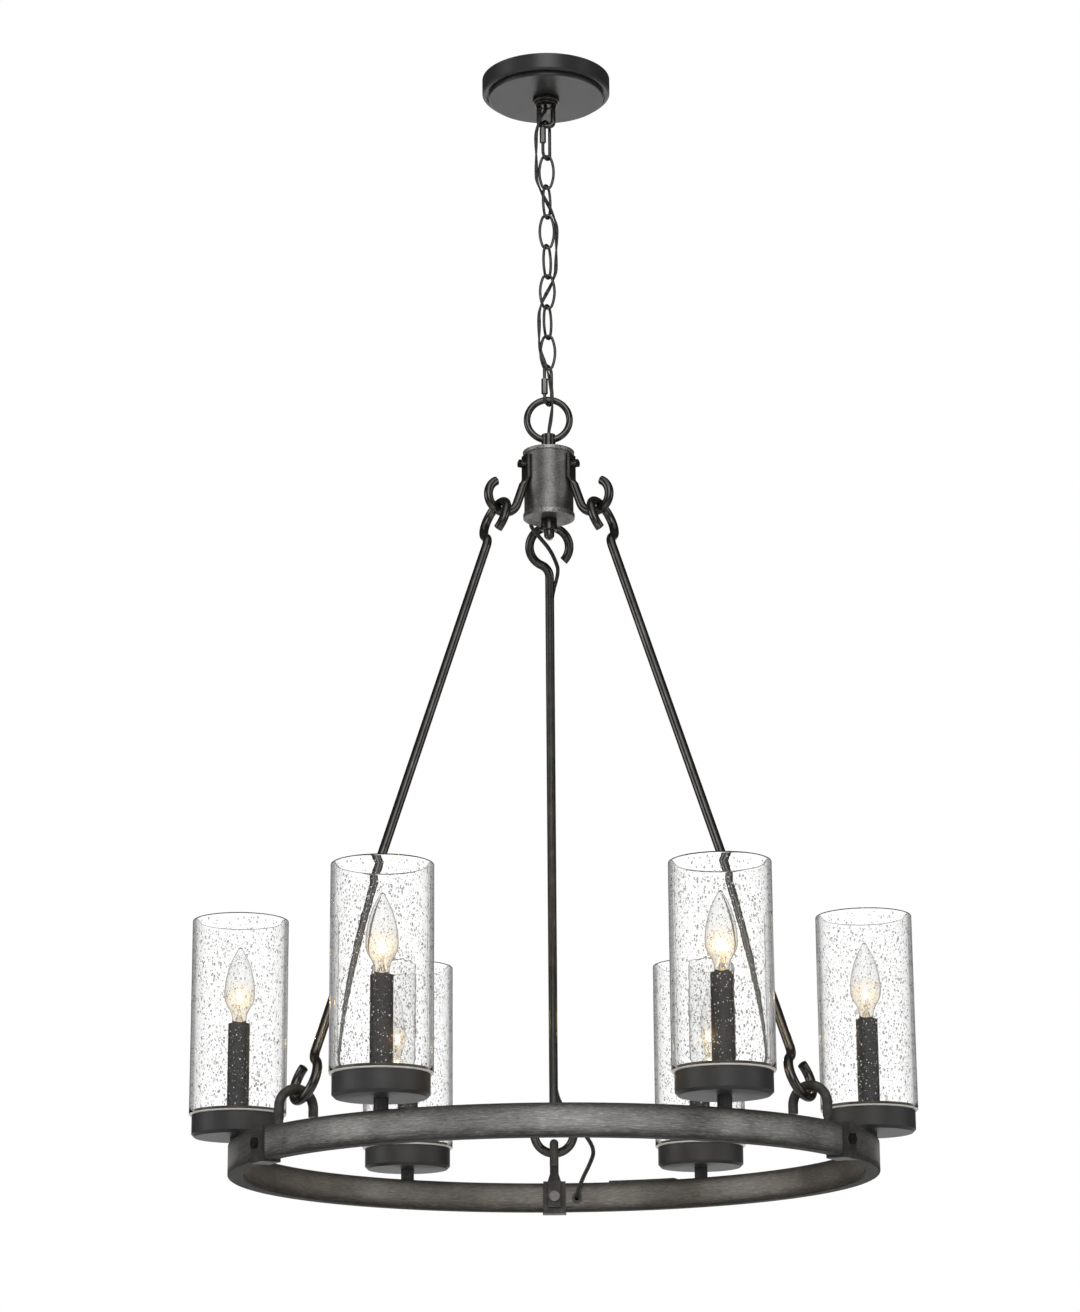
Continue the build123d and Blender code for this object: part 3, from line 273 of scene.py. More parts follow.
def weathered_ring():
    # Brushed metal with a painted highlight round its middle, and painted shade that darkens it toward the
    # edges, ragged along the streaks
    s = Shader("weathered_ring")
    fine = s.noise(s.stretched(150, 2000), 1.0, 4, 0.62)
    streak = s.noise(s.stretched(45, 700), 1.0, 3, 0.6)
    patch = s.noise(s.place(), 14, 3)
    grain = s.noise(s.place(), 1100, 2)
    tone = s.weigh((fine, 0.46), (streak, 0.20), (patch, 0.22), (grain, 0.12))
    colour = s.ramp(
        tone,
        (0.38, (0.032, 0.0306, 0.0283)),
        (0.45, (0.092, 0.0893, 0.0834)),
        (0.54, (0.182, 0.1774, 0.1674)),
        (0.63, (0.400, 0.3918, 0.3718)),
    )
    x, y, height = s.axes()
    # Painted highlight: pale metal mixed in along a patchy band round the ring's middle
    middle = (RING_FOOT + RING_TOP) / 2 - HIGHLIGHT_DROP
    crown = s.times(s.step(height, RING_FOOT, middle), s.step(height, RING_TOP, middle))
    crown = s.times(crown, s.step(patch, 0.25, 0.65))
    colour = s.mix(s.times(crown, 0.22), colour, WORN_AND_HIGHLIGHT_METAL)
    inside = s.step(s.radius(x, y), RING_REACH - INNER_START, RING_REACH - INNER_FULL)
    colour = s.mix(s.times(inside, 0.45), colour, INSIDE_TONE)
    # Painted shade: darker toward the upper and lower edge, ragged along the streaks
    ragged = s.math("ADD", height, s.times(s.math("SUBTRACT", streak, 0.5), SHADE_SHIFT))
    upper = s.step(ragged, RING_TOP - UPPER_SHADE, RING_TOP)
    lower = s.step(ragged, RING_FOOT + LOWER_SHADE, RING_FOOT)
    edge_shade = s.times(s.math("MAXIMUM", upper, lower), 0.8)
    return s.principled(
        Base_Color=s.mix(edge_shade, colour, EDGE_SHADE_TONE),
        Roughness=s.math("MAXIMUM", s.spread(streak, 0.38, 0.52), edge_shade),
        Normal=s.bump(tone, 0.3, 0.0005),
        Metallic=0.6,
    )


def brushed_hub():
    # Gunmetal brushed round the axis, worn bright along the rims of its caps
    s = Shader("brushed_hub")
    fine = s.noise(s.stretched(90, 2600), 1.0, 3, 0.6)
    grain = s.noise(s.place(), 700, 3)
    patch = s.noise(s.place(), 40, 3)
    colour = s.ramp(
        s.weigh((fine, 0.30), (grain, 0.35), (patch, 0.35)),
        (0.38, (0.085, 0.0830, 0.0780)),
        (0.50, (0.150, 0.1470, 0.1395)),
        (0.62, (0.270, 0.2650, 0.2530)),
    )
    x, y, _ = s.axes()
    rim = s.step(s.radius(x, y), HUB_REACH - HUB_RIM_START, HUB_REACH - HUB_RIM_FULL)
    worn = s.times(rim, s.step(grain, 0.36, 0.60))
    return s.principled(
        Base_Color=s.mix(s.times(worn, 0.7), colour, WORN_AND_HIGHLIGHT_METAL),
        Roughness=s.spread(grain, 0.38, 0.52),
        Normal=s.bump(fine, 0.14, 0.0003),
        Metallic=0.9,
    )


def zinc_steel():
    s = Shader("zinc_steel")
    cells = s.add("TexVoronoi", Vector=s.place(), Scale=190.0).outputs["Color"]
    broad = s.noise(s.place(), 60, 3)
    colour = s.mix(0.2, s.ramp(broad, (0.3, (0.42, 0.42, 0.40)), (0.7, (0.60, 0.59, 0.56))), cells)
    return s.principled(
        Base_Color=s.add("HueSaturation", Saturation=0.12, Color=colour).outputs[0],
        Roughness=s.spread(broad, 0.28, 0.42),
        Metallic=1.0,
    )


def lamp_paint(name, depth, shine):
    # Satin paint: depth scales its tones, and shine is its specular level
    s = Shader(name)
    fine = s.noise(s.place(), 1400, 3)
    broad = s.noise(s.place(), 30, 3)
    dark, light = (tuple(c * depth for c in tone) for tone in PAINT_TONES)
    return s.principled(
        Base_Color=s.ramp(broad, (0.3, dark), (0.7, light)),
        Roughness=s.spread(fine, 0.42, 0.54),
        Normal=s.bump(fine, 0.08, 0.0003),
        Specular_IOR_Level=shine,
    )


def socket_plastic():
    s = Shader("socket_plastic")
    fine = s.noise(s.place(), 700, 3)
    return s.principled(
        Base_Color=s.ramp(fine, (0.3, (0.016, 0.016, 0.016)), (0.7, (0.028, 0.028, 0.027))),
        Roughness=s.spread(fine, 0.45, 0.6),
    )


def black_rubber():
    s = Shader("black_rubber")
    fine = s.noise(s.place(), 500, 3)
    return s.principled(
        Base_Color=s.ramp(fine, (0.3, (0.012, 0.0118, 0.0115)), (0.7, (0.026, 0.025, 0.024))),
        Roughness=s.spread(fine, 0.32, 0.46),
        Normal=s.bump(fine, 0.08, 0.0003),
    )


def glass_body(name, tint, wave, depth, painted_glow=None, smoke=0.0, foot=None, outside=None):
    # Clear glass that lamps shine through, with a faint unevenness of its surface. It may have a painted warm
    # glow in a belt where a lamp lights it, a painted amber glow at its foot, a smoky wall and painted shade
    # on its outer side.
    s = Shader(name)
    uneven = s.noise(s.place(), wave, 2, 0.4)
    colour = s.ramp(uneven, (0.3, tint), (0.7, tuple(min(1.0, c * 1.015) for c in tint)))
    if painted_glow:
        low, high, glow = painted_glow
        # Painted glow: a mottled warm belt where the lit filament lights the bulb
        height = s.axes()["Z"]
        glow_belt = s.times(s.step(height, low, low + GLOW_RISE), s.step(height, high, high - GLOW_FALL))
        mottle = s.step(s.noise(s.place(), 420, 3, 0.6), 0.40, 0.70)
        colour = s.mix(s.times(glow_belt, mottle), colour, (*glow, 1))
    if foot:
        # Painted glow: lamp light caught amber in the foot of the glass
        amber_glow = s.step(s.axes()["Z"], foot + AMBER_GLOW_END, foot + AMBER_GLOW_FULL)
        colour = s.mix(amber_glow, colour, AMBER_FOOT_GLOW)
    if outside:
        # Painted shade on the outer face, so the rim looks dark from outside; light on its way out of the
        # glass is left as it is
        colour = s.mix(s.add("NewGeometry").outputs["Backfacing"], outside, colour)
    made = s.add(
        "BsdfPrincipled",
        Base_Color=colour,
        Normal=s.bump(uneven, 0.25, depth),
        Roughness=0.0,
        IOR=1.5,
        Transmission_Weight=1.0,
    )
    through = s.add("BsdfTransparent", Color=CLEAR_PASS)
    path = s.add("LightPath").outputs
    soft = s.times(path["Is Glossy Ray"], s.math("SUBTRACT", 1.0, path["Is Singular Ray"]))
    passing = s.math("MAXIMUM", path["Is Shadow Ray"], path["Is Diffuse Ray"])
    both = s.add("MixShader", Fac=s.math("MAXIMUM", passing, soft))
    s.put(both.inputs[1], made.outputs[0])
    s.put(both.inputs[2], through.outputs[0])
    if smoke:
        # Absorption in the wall, which darkens its edges where the way through it is long
        wall = s.add("VolumeAbsorption", Color=SMOKE_TONE, Density=smoke)
        s.put(s.out.inputs["Volume"], wall.outputs[0])
    return s.surface(both.outputs[0])


def ground_glass():
    # The foot of a glass, ground flat: pale and matt
    s = Shader("ground_glass")
    grain = s.noise(s.place(), 1500, 3)
    return s.principled(
        Base_Color=s.ramp(grain, (0.3, (0.70, 0.685, 0.65)), (0.7, (0.86, 0.85, 0.82))),
        Roughness=s.spread(grain, 0.45, 0.65),
        Transmission_Weight=0.4,
    )


def bulb_metal():
    s = Shader("bulb_metal")
    fine = s.noise(s.place(), 300, 3)
    return s.principled(
        Base_Color=s.ramp(fine, (0.3, (0.50, 0.47, 0.40)), (0.7, (0.66, 0.62, 0.53))),
        Roughness=s.spread(fine, 0.22, 0.4),
        Metallic=1.0,
    )


def hot_filament():
    s = Shader("hot_filament")
    fine = s.noise(s.place(), 900, 2)
    glow = s.ramp(fine, (0.3, (1.0, 0.62, 0.25)), (0.7, (1.0, 0.74, 0.38)))
    return s.principled(Base_Color=glow, Emission_Color=glow, Roughness=0.5, Emission_Strength=700.0)


# Painted glow of the lit bulbs: the heights it spans, and its warm colour
BULB_PAINTED_GLOW = (BULB_FOOT - 0.006, BULB_FOOT + 0.050, (1.0, 0.88, 0.62))
# Painted shade on the outer rounding of the glasses' top rim
RIM_SHADE = (0.20, 0.20, 0.198, 1)
MATERIALS = {
    "canopy_paint": canopy_paint(),
    "dark_bronze": dark_bronze(),
    "brushed_gunmetal": weathered_ring(),
    "zinc_steel": zinc_steel(),
    "lamp_paint": lamp_paint("lamp_paint", 1.2, 0.37),
    "socket_plastic": socket_plastic(),
    "black_rubber": black_rubber(),
    "seeded_glass": glass_body("seeded_glass", (0.985, 0.986, 0.984), 90, 0.0002, smoke=4.0, foot=GLASS_FOOT),
    "bulb_glass": glass_body("bulb_glass", (0.99, 0.99, 0.987), 60, 0.0002, painted_glow=BULB_PAINTED_GLOW, smoke=45.0),
}
SHADED_RIM_GLASS = glass_body("shaded_rim_glass", (0.97, 0.97, 0.965), 90, 0.0002, smoke=4.0, outside=RIM_SHADE)
SEED_GLASS = glass_body("seed_glass", (0.99, 0.99, 0.985), 900, 0.0)
FOOT_GLASS = ground_glass()
HUB_METAL = brushed_hub()
STRAP_IRON = black_iron()
TUBE_PAINT = lamp_paint("tube_paint", 0.6, 0.18)
BULB_METAL = bulb_metal()
FILAMENT = hot_filament()


def dress(obj, material):
    obj.data.materials.clear()
    obj.data.materials.append(material)
    return obj


for part in frame["record"]["subparts"]:
    dress(nodes[part["node"]], MATERIALS[part["material_slot"]])
for name in ("hub_tube", "hub_cap", "hub_base"):
    dress(nodes[name], HUB_METAL)
for name in ("ring_clips", "ring_hooks", "wiring_cover"):
    dress(nodes[name], STRAP_IRON)
dress(nodes["candle_tubes"], TUBE_PAINT)


# Mesh builders


def mesh_piece(name, points, faces, material, smooth=True):
    data = bpy.data.meshes.new(name)
    data.from_pydata(points, [], faces)
    data.update()
    data.polygons.foreach_set("use_smooth", [smooth] * len(data.polygons))
    obj = bpy.data.objects.new(name, data)
    bpy.context.scene.collection.objects.link(obj)
    return dress(obj, material)


ON_AXIS = 1e-7


def lathe(profile, turns, centre, closed=True, ripple=None):
    # Points and faces of a profile (radius, height) turned round an upright axis
    points, rows = [], []
    for radius, height in profile:
        if radius < ON_AXIS:
            rows.append([len(points)] * turns)
            points.append((centre[0], centre[1], height))
            continue
        row = []
        for k in range(turns):
            a = 2 * math.pi * k / turns
            r = radius + (ripple(a, height) if ripple else 0.0)
            row.append(len(points))
            points.append((centre[0] + r * math.cos(a), centre[1] + r * math.sin(a), height))
        rows.append(row)
    faces = []
    pairs = list(zip(rows, rows[1:])) + ([(rows[-1], rows[0])] if closed else [])
    for low, high in pairs:
        for k in range(turns):
            n = (k + 1) % turns
            face = []
            for corner in (low[k], low[n], high[n], high[k]):
                if corner not in face:
                    face.append(corner)
            if len(face) > 2:
                faces.append(face)
    return points, faces


def ball(level):
    grid = bmesh.new()
    bmesh.ops.create_icosphere(grid, subdivisions=level, radius=1.0)
    points = np.array([v.co[:] for v in grid.verts])
    faces = np.array([[v.index for v in f.verts] for f in grid.faces])
    grid.free()
    return points, faces


def rounded_wall(inner, outer, low, high, edge, steps, rise):
    # Closed profile of an upright wall with rounded edges, counter-clockwise seen with radius to the right
    def corner(r, z, start):
        turns = [math.radians(start + 90 * k / steps) for k in range(steps + 1)]
        return [(r + edge * math.cos(a), z + edge * math.sin(a)) for a in turns]

    levels = [low + edge + (high - low - 2 * edge) * k / rise for k in range(1, rise)]
    profile = corner(inner + edge, low + edge, 180) + corner(outer - edge, low + edge, 270)
    profile += [(outer, z) for z in levels]
    profile += corner(outer - edge, high - edge, 0) + corner(inner + edge, high - edge, 90)
    profile += [(inner, z) for z in reversed(levels)]
    return profile


# Glass cylinders with seeds: closed walls that hold real bubbles
GLASS_WALL, GLASS_EDGE = 4.0 * MM, 1.4 * MM
GLASS_TURNS, CORNER_STEPS, WALL_STEPS = 96, 5, 26
# Rows of faces on the foot, and on the outer rounding of the top rim, which comes after the outer wall
FOOT_ROWS = 0, 2 * CORNER_STEPS + 1
RIM_START = 2 * (CORNER_STEPS + 1) + WALL_STEPS - 1
RIM_ROWS = RIM_START, RIM_START + CORNER_STEPS
RIPPLE_SIZE = 0.00003
SEED_COUNT, FIRST_DRAW = 3600, 400
# Half widths of the seeds, in millimetres: a few large ones, and small ones that spread round a middle size
LARGE_SHARE, LARGE_WIDTHS = 0.14, (0.58, 1.0)
SMALL_WIDTH, SMALL_SPREAD, SMALL_MOST = 0.39, 0.36, 0.9
# Least and most height of a seed for each unit of its width, and the most that one leans, in radians
SEED_HEIGHTS, SEED_LEAN = (1.1, 2.0), 0.25
# How far a seed's middle stays from the ends of the glass, and its skin from the inner and outer face
END_COVER, INNER_COVER, OUTER_COVER = 4 * MM, 0.6 * MM, 0.75 * MM
# Seeds of a larger half width than this are made of the finer ball
FINE_FROM = 0.5 * MM
FINE_BALL, SMALL_BALL = ball(2), ball(1)
# Seeds are kept in cells of the wall, and each stays clear of those in its own and the next cells
SEED_CELL, SEED_GAP = 4 * MM, 1.2
NEIGHBOURS = [(i, j) for i in (-1, 0, 1) for j in (-1, 0, 1)]


def seed_width(chance):
    if chance.random() < LARGE_SHARE:
        return chance.uniform(*LARGE_WIDTHS) * MM
    return min(SMALL_MOST, chance.lognormvariate(math.log(SMALL_WIDTH), SMALL_SPREAD)) * MM


def too_near(one, other):
    # Each seed is its place round the wall, its level, its half width and its half height
    across, up = ((one[k] - other[k]) / (one[k + 2] + other[k + 2]) for k in (0, 1))
    return across**2 + up**2 < SEED_GAP


def seeded_glass(number):
    low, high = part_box(f"glass_{number}")
    centre = ((low.x + high.x) / 2, (low.y + high.y) / 2)
    outer = (high.x - low.x) / 2
    inner = outer - GLASS_WALL
    chance = random.Random(FIRST_DRAW + number)
    # Three of these are used, and the fourth keeps the order of the draws
    phase = [chance.uniform(0, 2 * math.pi) for _ in range(4)]

    def ripple(a, z):
        wave = math.sin(3 * a + phase[0] + 22 * z) + math.sin(5 * a + phase[1] - 41 * z)
        return RIPPLE_SIZE * (wave + math.sin(2 * a + phase[2] + 60 * z) - 3)

    profile = rounded_wall(inner, outer, low.z, high.z, GLASS_EDGE, CORNER_STEPS, WALL_STEPS)
    points, faces = lathe(profile, GLASS_TURNS, centre, ripple=ripple)
    points = [np.array(points)]
    count, wall_faces = len(points[0]), len(faces)
    taken = {}
    made = 0
    while made < SEED_COUNT:
        a = chance.uniform(0, 2 * math.pi)
        z = chance.uniform(low.z + END_COVER, high.z - END_COVER)
        wide = seed_width(chance)
        tall = wide * chance.uniform(*SEED_HEIGHTS)
        radius = chance.uniform(inner + wide + INNER_COVER, outer - wide - OUTER_COVER)
        seed = (a * outer, z, wide, tall)
        column, row = (int(place / SEED_CELL) for place in seed[:2])
        near = [other for i, j in NEIGHBOURS for other in taken.get((column + i, row + j), ())]
        if any(too_near(seed, other) for other in near):
            continue
        taken.setdefault((column, row), []).append(seed)
        base, sides = FINE_BALL if wide > FINE_FROM else SMALL_BALL
        lean = chance.uniform(-SEED_LEAN, SEED_LEAN)
        out, side, up = base[:, 0] * wide, base[:, 1] * wide, base[:, 2] * tall
        side, up = side * math.cos(lean) - up * math.sin(lean), side * math.sin(lean) + up * math.cos(lean)
        turn = a + side / radius
        reach = radius + out
        skin = (centre[0] + reach * np.cos(turn), centre[1] + reach * np.sin(turn), z + up)
        points.append(np.stack(skin, axis=1))
        faces += (sides[:, ::-1] + count).tolist()
        count += len(base)
        made += 1
    points = np.concatenate(points).tolist()
    piece = mesh_piece(f"seeded_glass_{number}", points, faces, MATERIALS["seeded_glass"])
    slots = [0] * wall_faces + [1] * (len(faces) - wall_faces)
    for slot, rows in ((2, RIM_ROWS), (3, FOOT_ROWS)):
        start, end = (GLASS_TURNS * row for row in rows)
        slots[start:end] = [slot] * (end - start)
    for material in (SEED_GLASS, SHADED_RIM_GLASS, FOOT_GLASS):
        piece.data.materials.append(material)
    piece.data.polygons.foreach_set("material_index", slots)
    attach(piece, "ring")
    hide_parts(f"glass_{number}")


for number in LAMPS:
    seeded_glass(number)


# Tubes along lines, for wires and cords
WIRE_SIDES = 6


def circle(radius):
    turns = [2 * math.pi * k / WIRE_SIDES for k in range(WIRE_SIDES)]
    return [(radius * math.cos(a), radius * math.sin(a)) for a in turns]


def sweep(line, outline, twist=0.0, first_side=None):
    # Points of an outline that follows a line and turns by twist radians a metre on the way
    line = [Vector(p) for p in line]
    heading = (line[1] - line[0]).normalized()
    side = heading.orthogonal().normalized() if first_side is None else Vector(first_side)
    side = (side - heading * side.dot(heading)).normalized()
    points, run = [], 0.0
    for k, here in enumerate(line):
        before, after = line[max(k - 1, 0)], line[min(k + 1, len(line) - 1)]
        heading = (after - before).normalized()
        side = (side - heading * side.dot(heading)).normalized()
        up = heading.cross(side)
        run += (here - before).length
        c, s = math.cos(twist * run), math.sin(twist * run)
        for u, v in outline:
            p = here + side * (u * c - v * s) + up * (u * s + v * c)
            points.append(p[:])
    return points


def tube_faces(rows, n):
    # Faces of a tube of so many rows of n points, closed at both ends
    faces = []
    for k in range(rows - 1):
        for j in range(n):
            i = (j + 1) % n
            faces.append([k * n + j, k * n + i, k * n + n + i, k * n + n + j])
    faces.append(list(range(n))[::-1])
    faces.append([(rows - 1) * n + j for j in range(n)])
    return faces


def wire(line, radius):
    return sweep(line, circle(radius)), tube_faces(len(line), WIRE_SIDES)


def gather(*groups):
    points, faces = [], []
    for more, sides in groups:
        faces += [[i + len(points) for i in f] for f in sides]
        points += list(more)
    return points, faces


# Bulbs: clear envelope, screw base, glass mount with lead wires, and a lit filament

# The envelope's radii at its neck, its belly and below its tip, and its wall
NECK, BELLY, CROWN, ENVELOPE_WALL = 7.2 * MM, 15.6 * MM, 2.6 * MM, 0.7 * MM
# Heights above its foot: its shoulder, its belly, and the start of its inner face
SHOULDER_HEIGHT, BELLY_HEIGHT, INNER_LIFT = 4 * MM, 30 * MM, 0.4 * MM
# The screw thread is a wave in the outline of the base
THREAD_RADIUS, THREAD_DEPTH = 5.62 * MM, 0.36 * MM
THREAD_START, THREAD_LENGTH, THREAD_TURNS = 3.0 * MM, 15.5 * MM, 6
THREAD_STEPS = 14 * THREAD_TURNS
ENVELOPE_TURNS, BASE_TURNS, STEM_TURNS = 48, 40, 24
LEAD_RADIUS, SUPPORT_RADIUS, FILAMENT_RADIUS = 0.28 * MM, 0.22 * MM, 0.34 * MM
FILAMENT_STEPS, FILAMENT_COILS, FILAMENT_PEAKS = 144, 36, 2
# In millimetres, from the middle of the bulb's foot
FILAMENT_REACH, FILAMENT_LEVEL, FILAMENT_RISE, COIL_RADIUS = 4.6, 22.4, 9.4, 0.4
# Degrees by which each bulb's mount is turned from the last one's, and from the X axis at the start
MOUNT_STEP, MOUNT_START = 60, 25


def tangent_arc(start, heading, end, steps):
    # Points of the arc that leaves start along heading and comes to end
    a, b, h = complex(*start), complex(*end), complex(*heading)
    chord = (b - a) / h
    turn = math.atan2(chord.imag, chord.real)
    made = []
    for k in range(steps + 1):
        step = turn * k / steps
        reach = abs(b - a) * math.sin(step) / math.sin(turn)
        p = a + reach * (h / abs(h)) * complex(math.cos(step), math.sin(step))
        made.append((p.real, p.imag))
    return made


def envelope_line(inset, foot, top):
    neck, belly = NECK - inset, BELLY - inset
    shoulder, middle = foot + SHOULDER_HEIGHT, foot + BELLY_HEIGHT
    waist = ((neck + belly) / 2, (shoulder + middle) / 2)
    crown = (CROWN - inset / 2, top - CROWN - inset / 2)
    line = [(neck, foot + (INNER_LIFT if inset else 0))]
    line += tangent_arc((neck, shoulder), (0, 1), waist, 6)
    line += tangent_arc((belly, middle), (0, -1), waist, 6)[::-1][1:]
    line += tangent_arc((belly, middle), (0, 1), crown, 16)[1:]
    line += tangent_arc((0, top - inset), (1, 0), crown, 6)[::-1][1:]
    return line


def above(level, *steps):
    # Profile points from pairs of radius and height above a level, in millimetres
    return [(radius * MM, level + height * MM) for radius, height in steps]


def bulb(number):
    low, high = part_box(f"bulb_{number}")
    centre = ((low.x + high.x) / 2, (low.y + high.y) / 2)
    top, foot = high.z, BULB_FOOT
    made = []

    def make(part, shape, material):
        made.append(mesh_piece(f"bulb_{number}_{part}", *shape, material))

    outer = envelope_line(0, foot, top)
    inner = envelope_line(ENVELOPE_WALL, foot, top)
    make("envelope", lathe(outer + inner[::-1], ENVELOPE_TURNS, centre), MATERIALS["bulb_glass"])
    base = above(low.z, (0, 0), (2.2, 0), (2.6, 1.0), (4.6, 2.2))
    for k in range(THREAD_STEPS + 1):
        wave = math.sin(2 * math.pi * THREAD_TURNS * k / THREAD_STEPS)
        height = low.z + THREAD_START + THREAD_LENGTH * k / THREAD_STEPS
        base.append((THREAD_RADIUS + THREAD_DEPTH * wave, height))
    base += above(foot, (5.7, -2.0), (6.0, -1.0), (7.2, -1.0), (7.2, 0), (0, 0))
    make("base", lathe(base, BASE_TURNS, centre, closed=False), BULB_METAL)
    stem = above(foot, (0, 0.2), (5.4, 0.2), (4.6, 4), (2.6, 8), (1.9, 11), (1.7, 14), (0.8, 15.2), (0, 15.4))
    make("stem", lathe(stem, STEM_TURNS, centre, closed=False), MATERIALS["bulb_glass"])

    a = math.radians(MOUNT_STEP * number + MOUNT_START)
    across = Vector((math.cos(a), math.sin(a), 0))
    beside = Vector((-across.y, across.x, 0))
    middle = Vector((*centre, foot))

    def at(u, z):
        return middle + across * (u * MM) + Vector((0, 0, z * MM))

    wires = []
    for side in (-1, 1):
        run = [at(side * 1.0, 14.0), at(side * 2.0, 17.0), at(side * 4.2, 20.0), at(side * 4.6, 22.6)]
        wires.append(wire(run, LEAD_RADIUS))
    wires.append(wire([at(0, 14.6), at(0, 22), at(0, 31.6)], SUPPORT_RADIUS))
    make("leads", gather(*wires), BULB_METAL)
    path = []
    for k in range(FILAMENT_STEPS + 1):
        share = k / FILAMENT_STEPS
        swing = (1 - math.cos(2 * math.pi * share * FILAMENT_PEAKS)) / 2
        coil = 2 * math.pi * FILAMENT_COILS * share
        height = FILAMENT_LEVEL + FILAMENT_RISE * swing + COIL_RADIUS * math.cos(coil)
        point = at(-FILAMENT_REACH + 2 * FILAMENT_REACH * share, height)
        path.append(point + beside * (COIL_RADIUS * MM * math.sin(coil)))
    make("filament", wire(path, FILAMENT_RADIUS), FILAMENT)
    for piece in made:
        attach(piece, f"bulb_{number}")
        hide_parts(f"bulb_{number}")


for number in LAMPS:
    bulb(number)


# Cords: twin leads along smooth lines


def smooth_line(route, steps=10):
    curve = bpy.data.curves.new("route", "CURVE")
    curve.dimensions = "3D"
    curve.resolution_u = steps
    spline = curve.splines.new("NURBS")
    spline.points.add(len(route) - 1)
    for point, place in zip(spline.points, route):
        point.co = (*(x * MM for x in place), 1)
    spline.order_u = 3
    spline.use_endpoint_u = True
    obj = bpy.data.objects.new("route", curve)
    bpy.context.scene.collection.objects.link(obj)
    bpy.context.view_layer.update()
    data = bpy.data.meshes.new_from_object(obj)
    line = [v.co.copy() for v in data.vertices]
    bpy.data.objects.remove(obj)
    bpy.data.curves.remove(curve)
    bpy.data.meshes.remove(data)
    return line


def twin_outline(strand, apart, steps=9):
    # Two round strands side by side: arcs of 300 degrees, open where they meet
    made = []
    for middle, start in ((apart, -150), (-apart, 30)):
        for k in range(steps + 1):
            a = math.radians(start + 300 * k / steps)
            made.append((middle + strand * math.cos(a), strand * math.sin(a)))
    return made


def strand_rows(line, outline, twist):
    # One row of points round each point of the line
    points = sweep(line, outline, twist, (1, 0, 0))
    n = len(outline)
    return [points[k * n : k * n + n] for k in range(len(line))]


def strand_piece(name, rows):
    points = [p for row in rows for p in row]
    return mesh_piece(name, points, tube_faces(len(rows), len(rows[0])), MATERIALS["black_rubber"])


# Outlines of the two cords, and how they twist in radians a metre
SUPPLY_TWIN, SUPPLY_TWIST = twin_outline(1.1 * MM, 1.0 * MM), 2 * math.pi / 0.075
FEED_TWIN, FEED_TWIST = twin_outline(1.22 * MM, 1.05 * MM), 0.8
SUPPLY_ROUTE = [
    (0, 0, -2.5), (0, 0, -20), (0, 0, -35.1), (-4.2, -10.0, -45.4), (-11.2, -6.9, -62.2),
    (-11.0, -5.4, -81.0), (-10.9, -4.2, -108.4), (-10.9, -4.2, -123.3), (10.9, 4.2, -162.9),
    (10.4, 5.2, -184.0), (9.6, 6.6, -208.0), (9.1, 7.4, -227.4), (-9.1, -7.4, -267.0),
    (-9.1, -7.4, -290.0), (-9.1, -7.4, -316.6), (-1.0, -10.9, -336.6), (5.4, -8.6, -370.4),
    (3.0, -3.6, -393.0), (0, 0, -407.7), (0, 0, -425.0), (0, 0, -453.8),
]
FEED_ROUTE = [
    (-7.3, 13.8, -490.3), (-16.6, 31.2, -490.3), (-21.0, 34.0, -498.6), (-11.5, 43.2, -508.3),
    (0.5, 55.6, -519.3), (7.0, 67.3, -530.0), (10.0, 77.5, -538.1), (2.0, 89.7, -562.1),
    (2.0, 99.0, -588.5), (2.0, 257.1, -1038.6), (1.0, 265.2, -1062.5), (7.0, 276.2, -1084.0),
    (33.0, 290.0, -1112.0), (44.5, 298.5, -1129.3), (39.0, 301.1, -1144.2), (29.8, 300.6, -1161.6),
    (23.9, 298.8, -1180.2), (24.8, 312.6, -1180.2),
]
CHAIN = ["canopy", "top_quick_link"] + [f"link_{k}" for k in range(1, 8)] + ["low_quick_link", "hub"]


def body_level(body):
    node = body.replace("link_", "chain_link_") if body.startswith("link_") else body
    low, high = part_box(node)
    return (low.z + high.z) / 2


# The supply cord is cut at the middle of each link, into one stretch between each two bodies of the chain
supply_line = smooth_line(SUPPLY_ROUTE)
supply_rows = strand_rows(supply_line, SUPPLY_TWIN, SUPPLY_TWIST)
cuts = [0]
for body in CHAIN[1:-1]:
    level = body_level(body)
    cuts.append(next(k for k, p in enumerate(supply_line) if p.z < level))
cuts.append(len(supply_line) - 1)
for k, (upper, lower) in enumerate(zip(CHAIN, CHAIN[1:])):
    piece = strand_piece(f"supply_cord_{k + 1}", supply_rows[cuts[k] : cuts[k + 1] + 1])
    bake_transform(piece)
    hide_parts("supply_cord")

feed = strand_piece("feed_wire_lead", strand_rows(smooth_line(FEED_ROUTE, 16), FEED_TWIN, FEED_TWIST))
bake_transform(feed)
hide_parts("feed_wire")


# Stage: pale floor far below, soft lights, and the camera at the photograph's angle
FLOOR_REACH, FLOOR_LEVEL, FLOOR_SIDES, FLOOR_GLOW = 9.5, -3.0, 120, 0.5


def pale_floor():
    s = Shader("pale_floor")
    broad = s.noise(s.place(), 1.4, 3)
    colour = s.ramp(broad, (0.3, (0.82, 0.82, 0.815)), (0.7, (0.86, 0.86, 0.855)))
    path = s.add("LightPath").outputs
    seen = s.math("MAXIMUM", path["Is Camera Ray"], path["Is Transmission Ray"])
    return s.principled(
        Base_Color=colour,
        Roughness=s.spread(broad, 0.7, 0.8),
        Emission_Color=colour,
        Emission_Strength=s.times(seen, FLOOR_GLOW),
    )


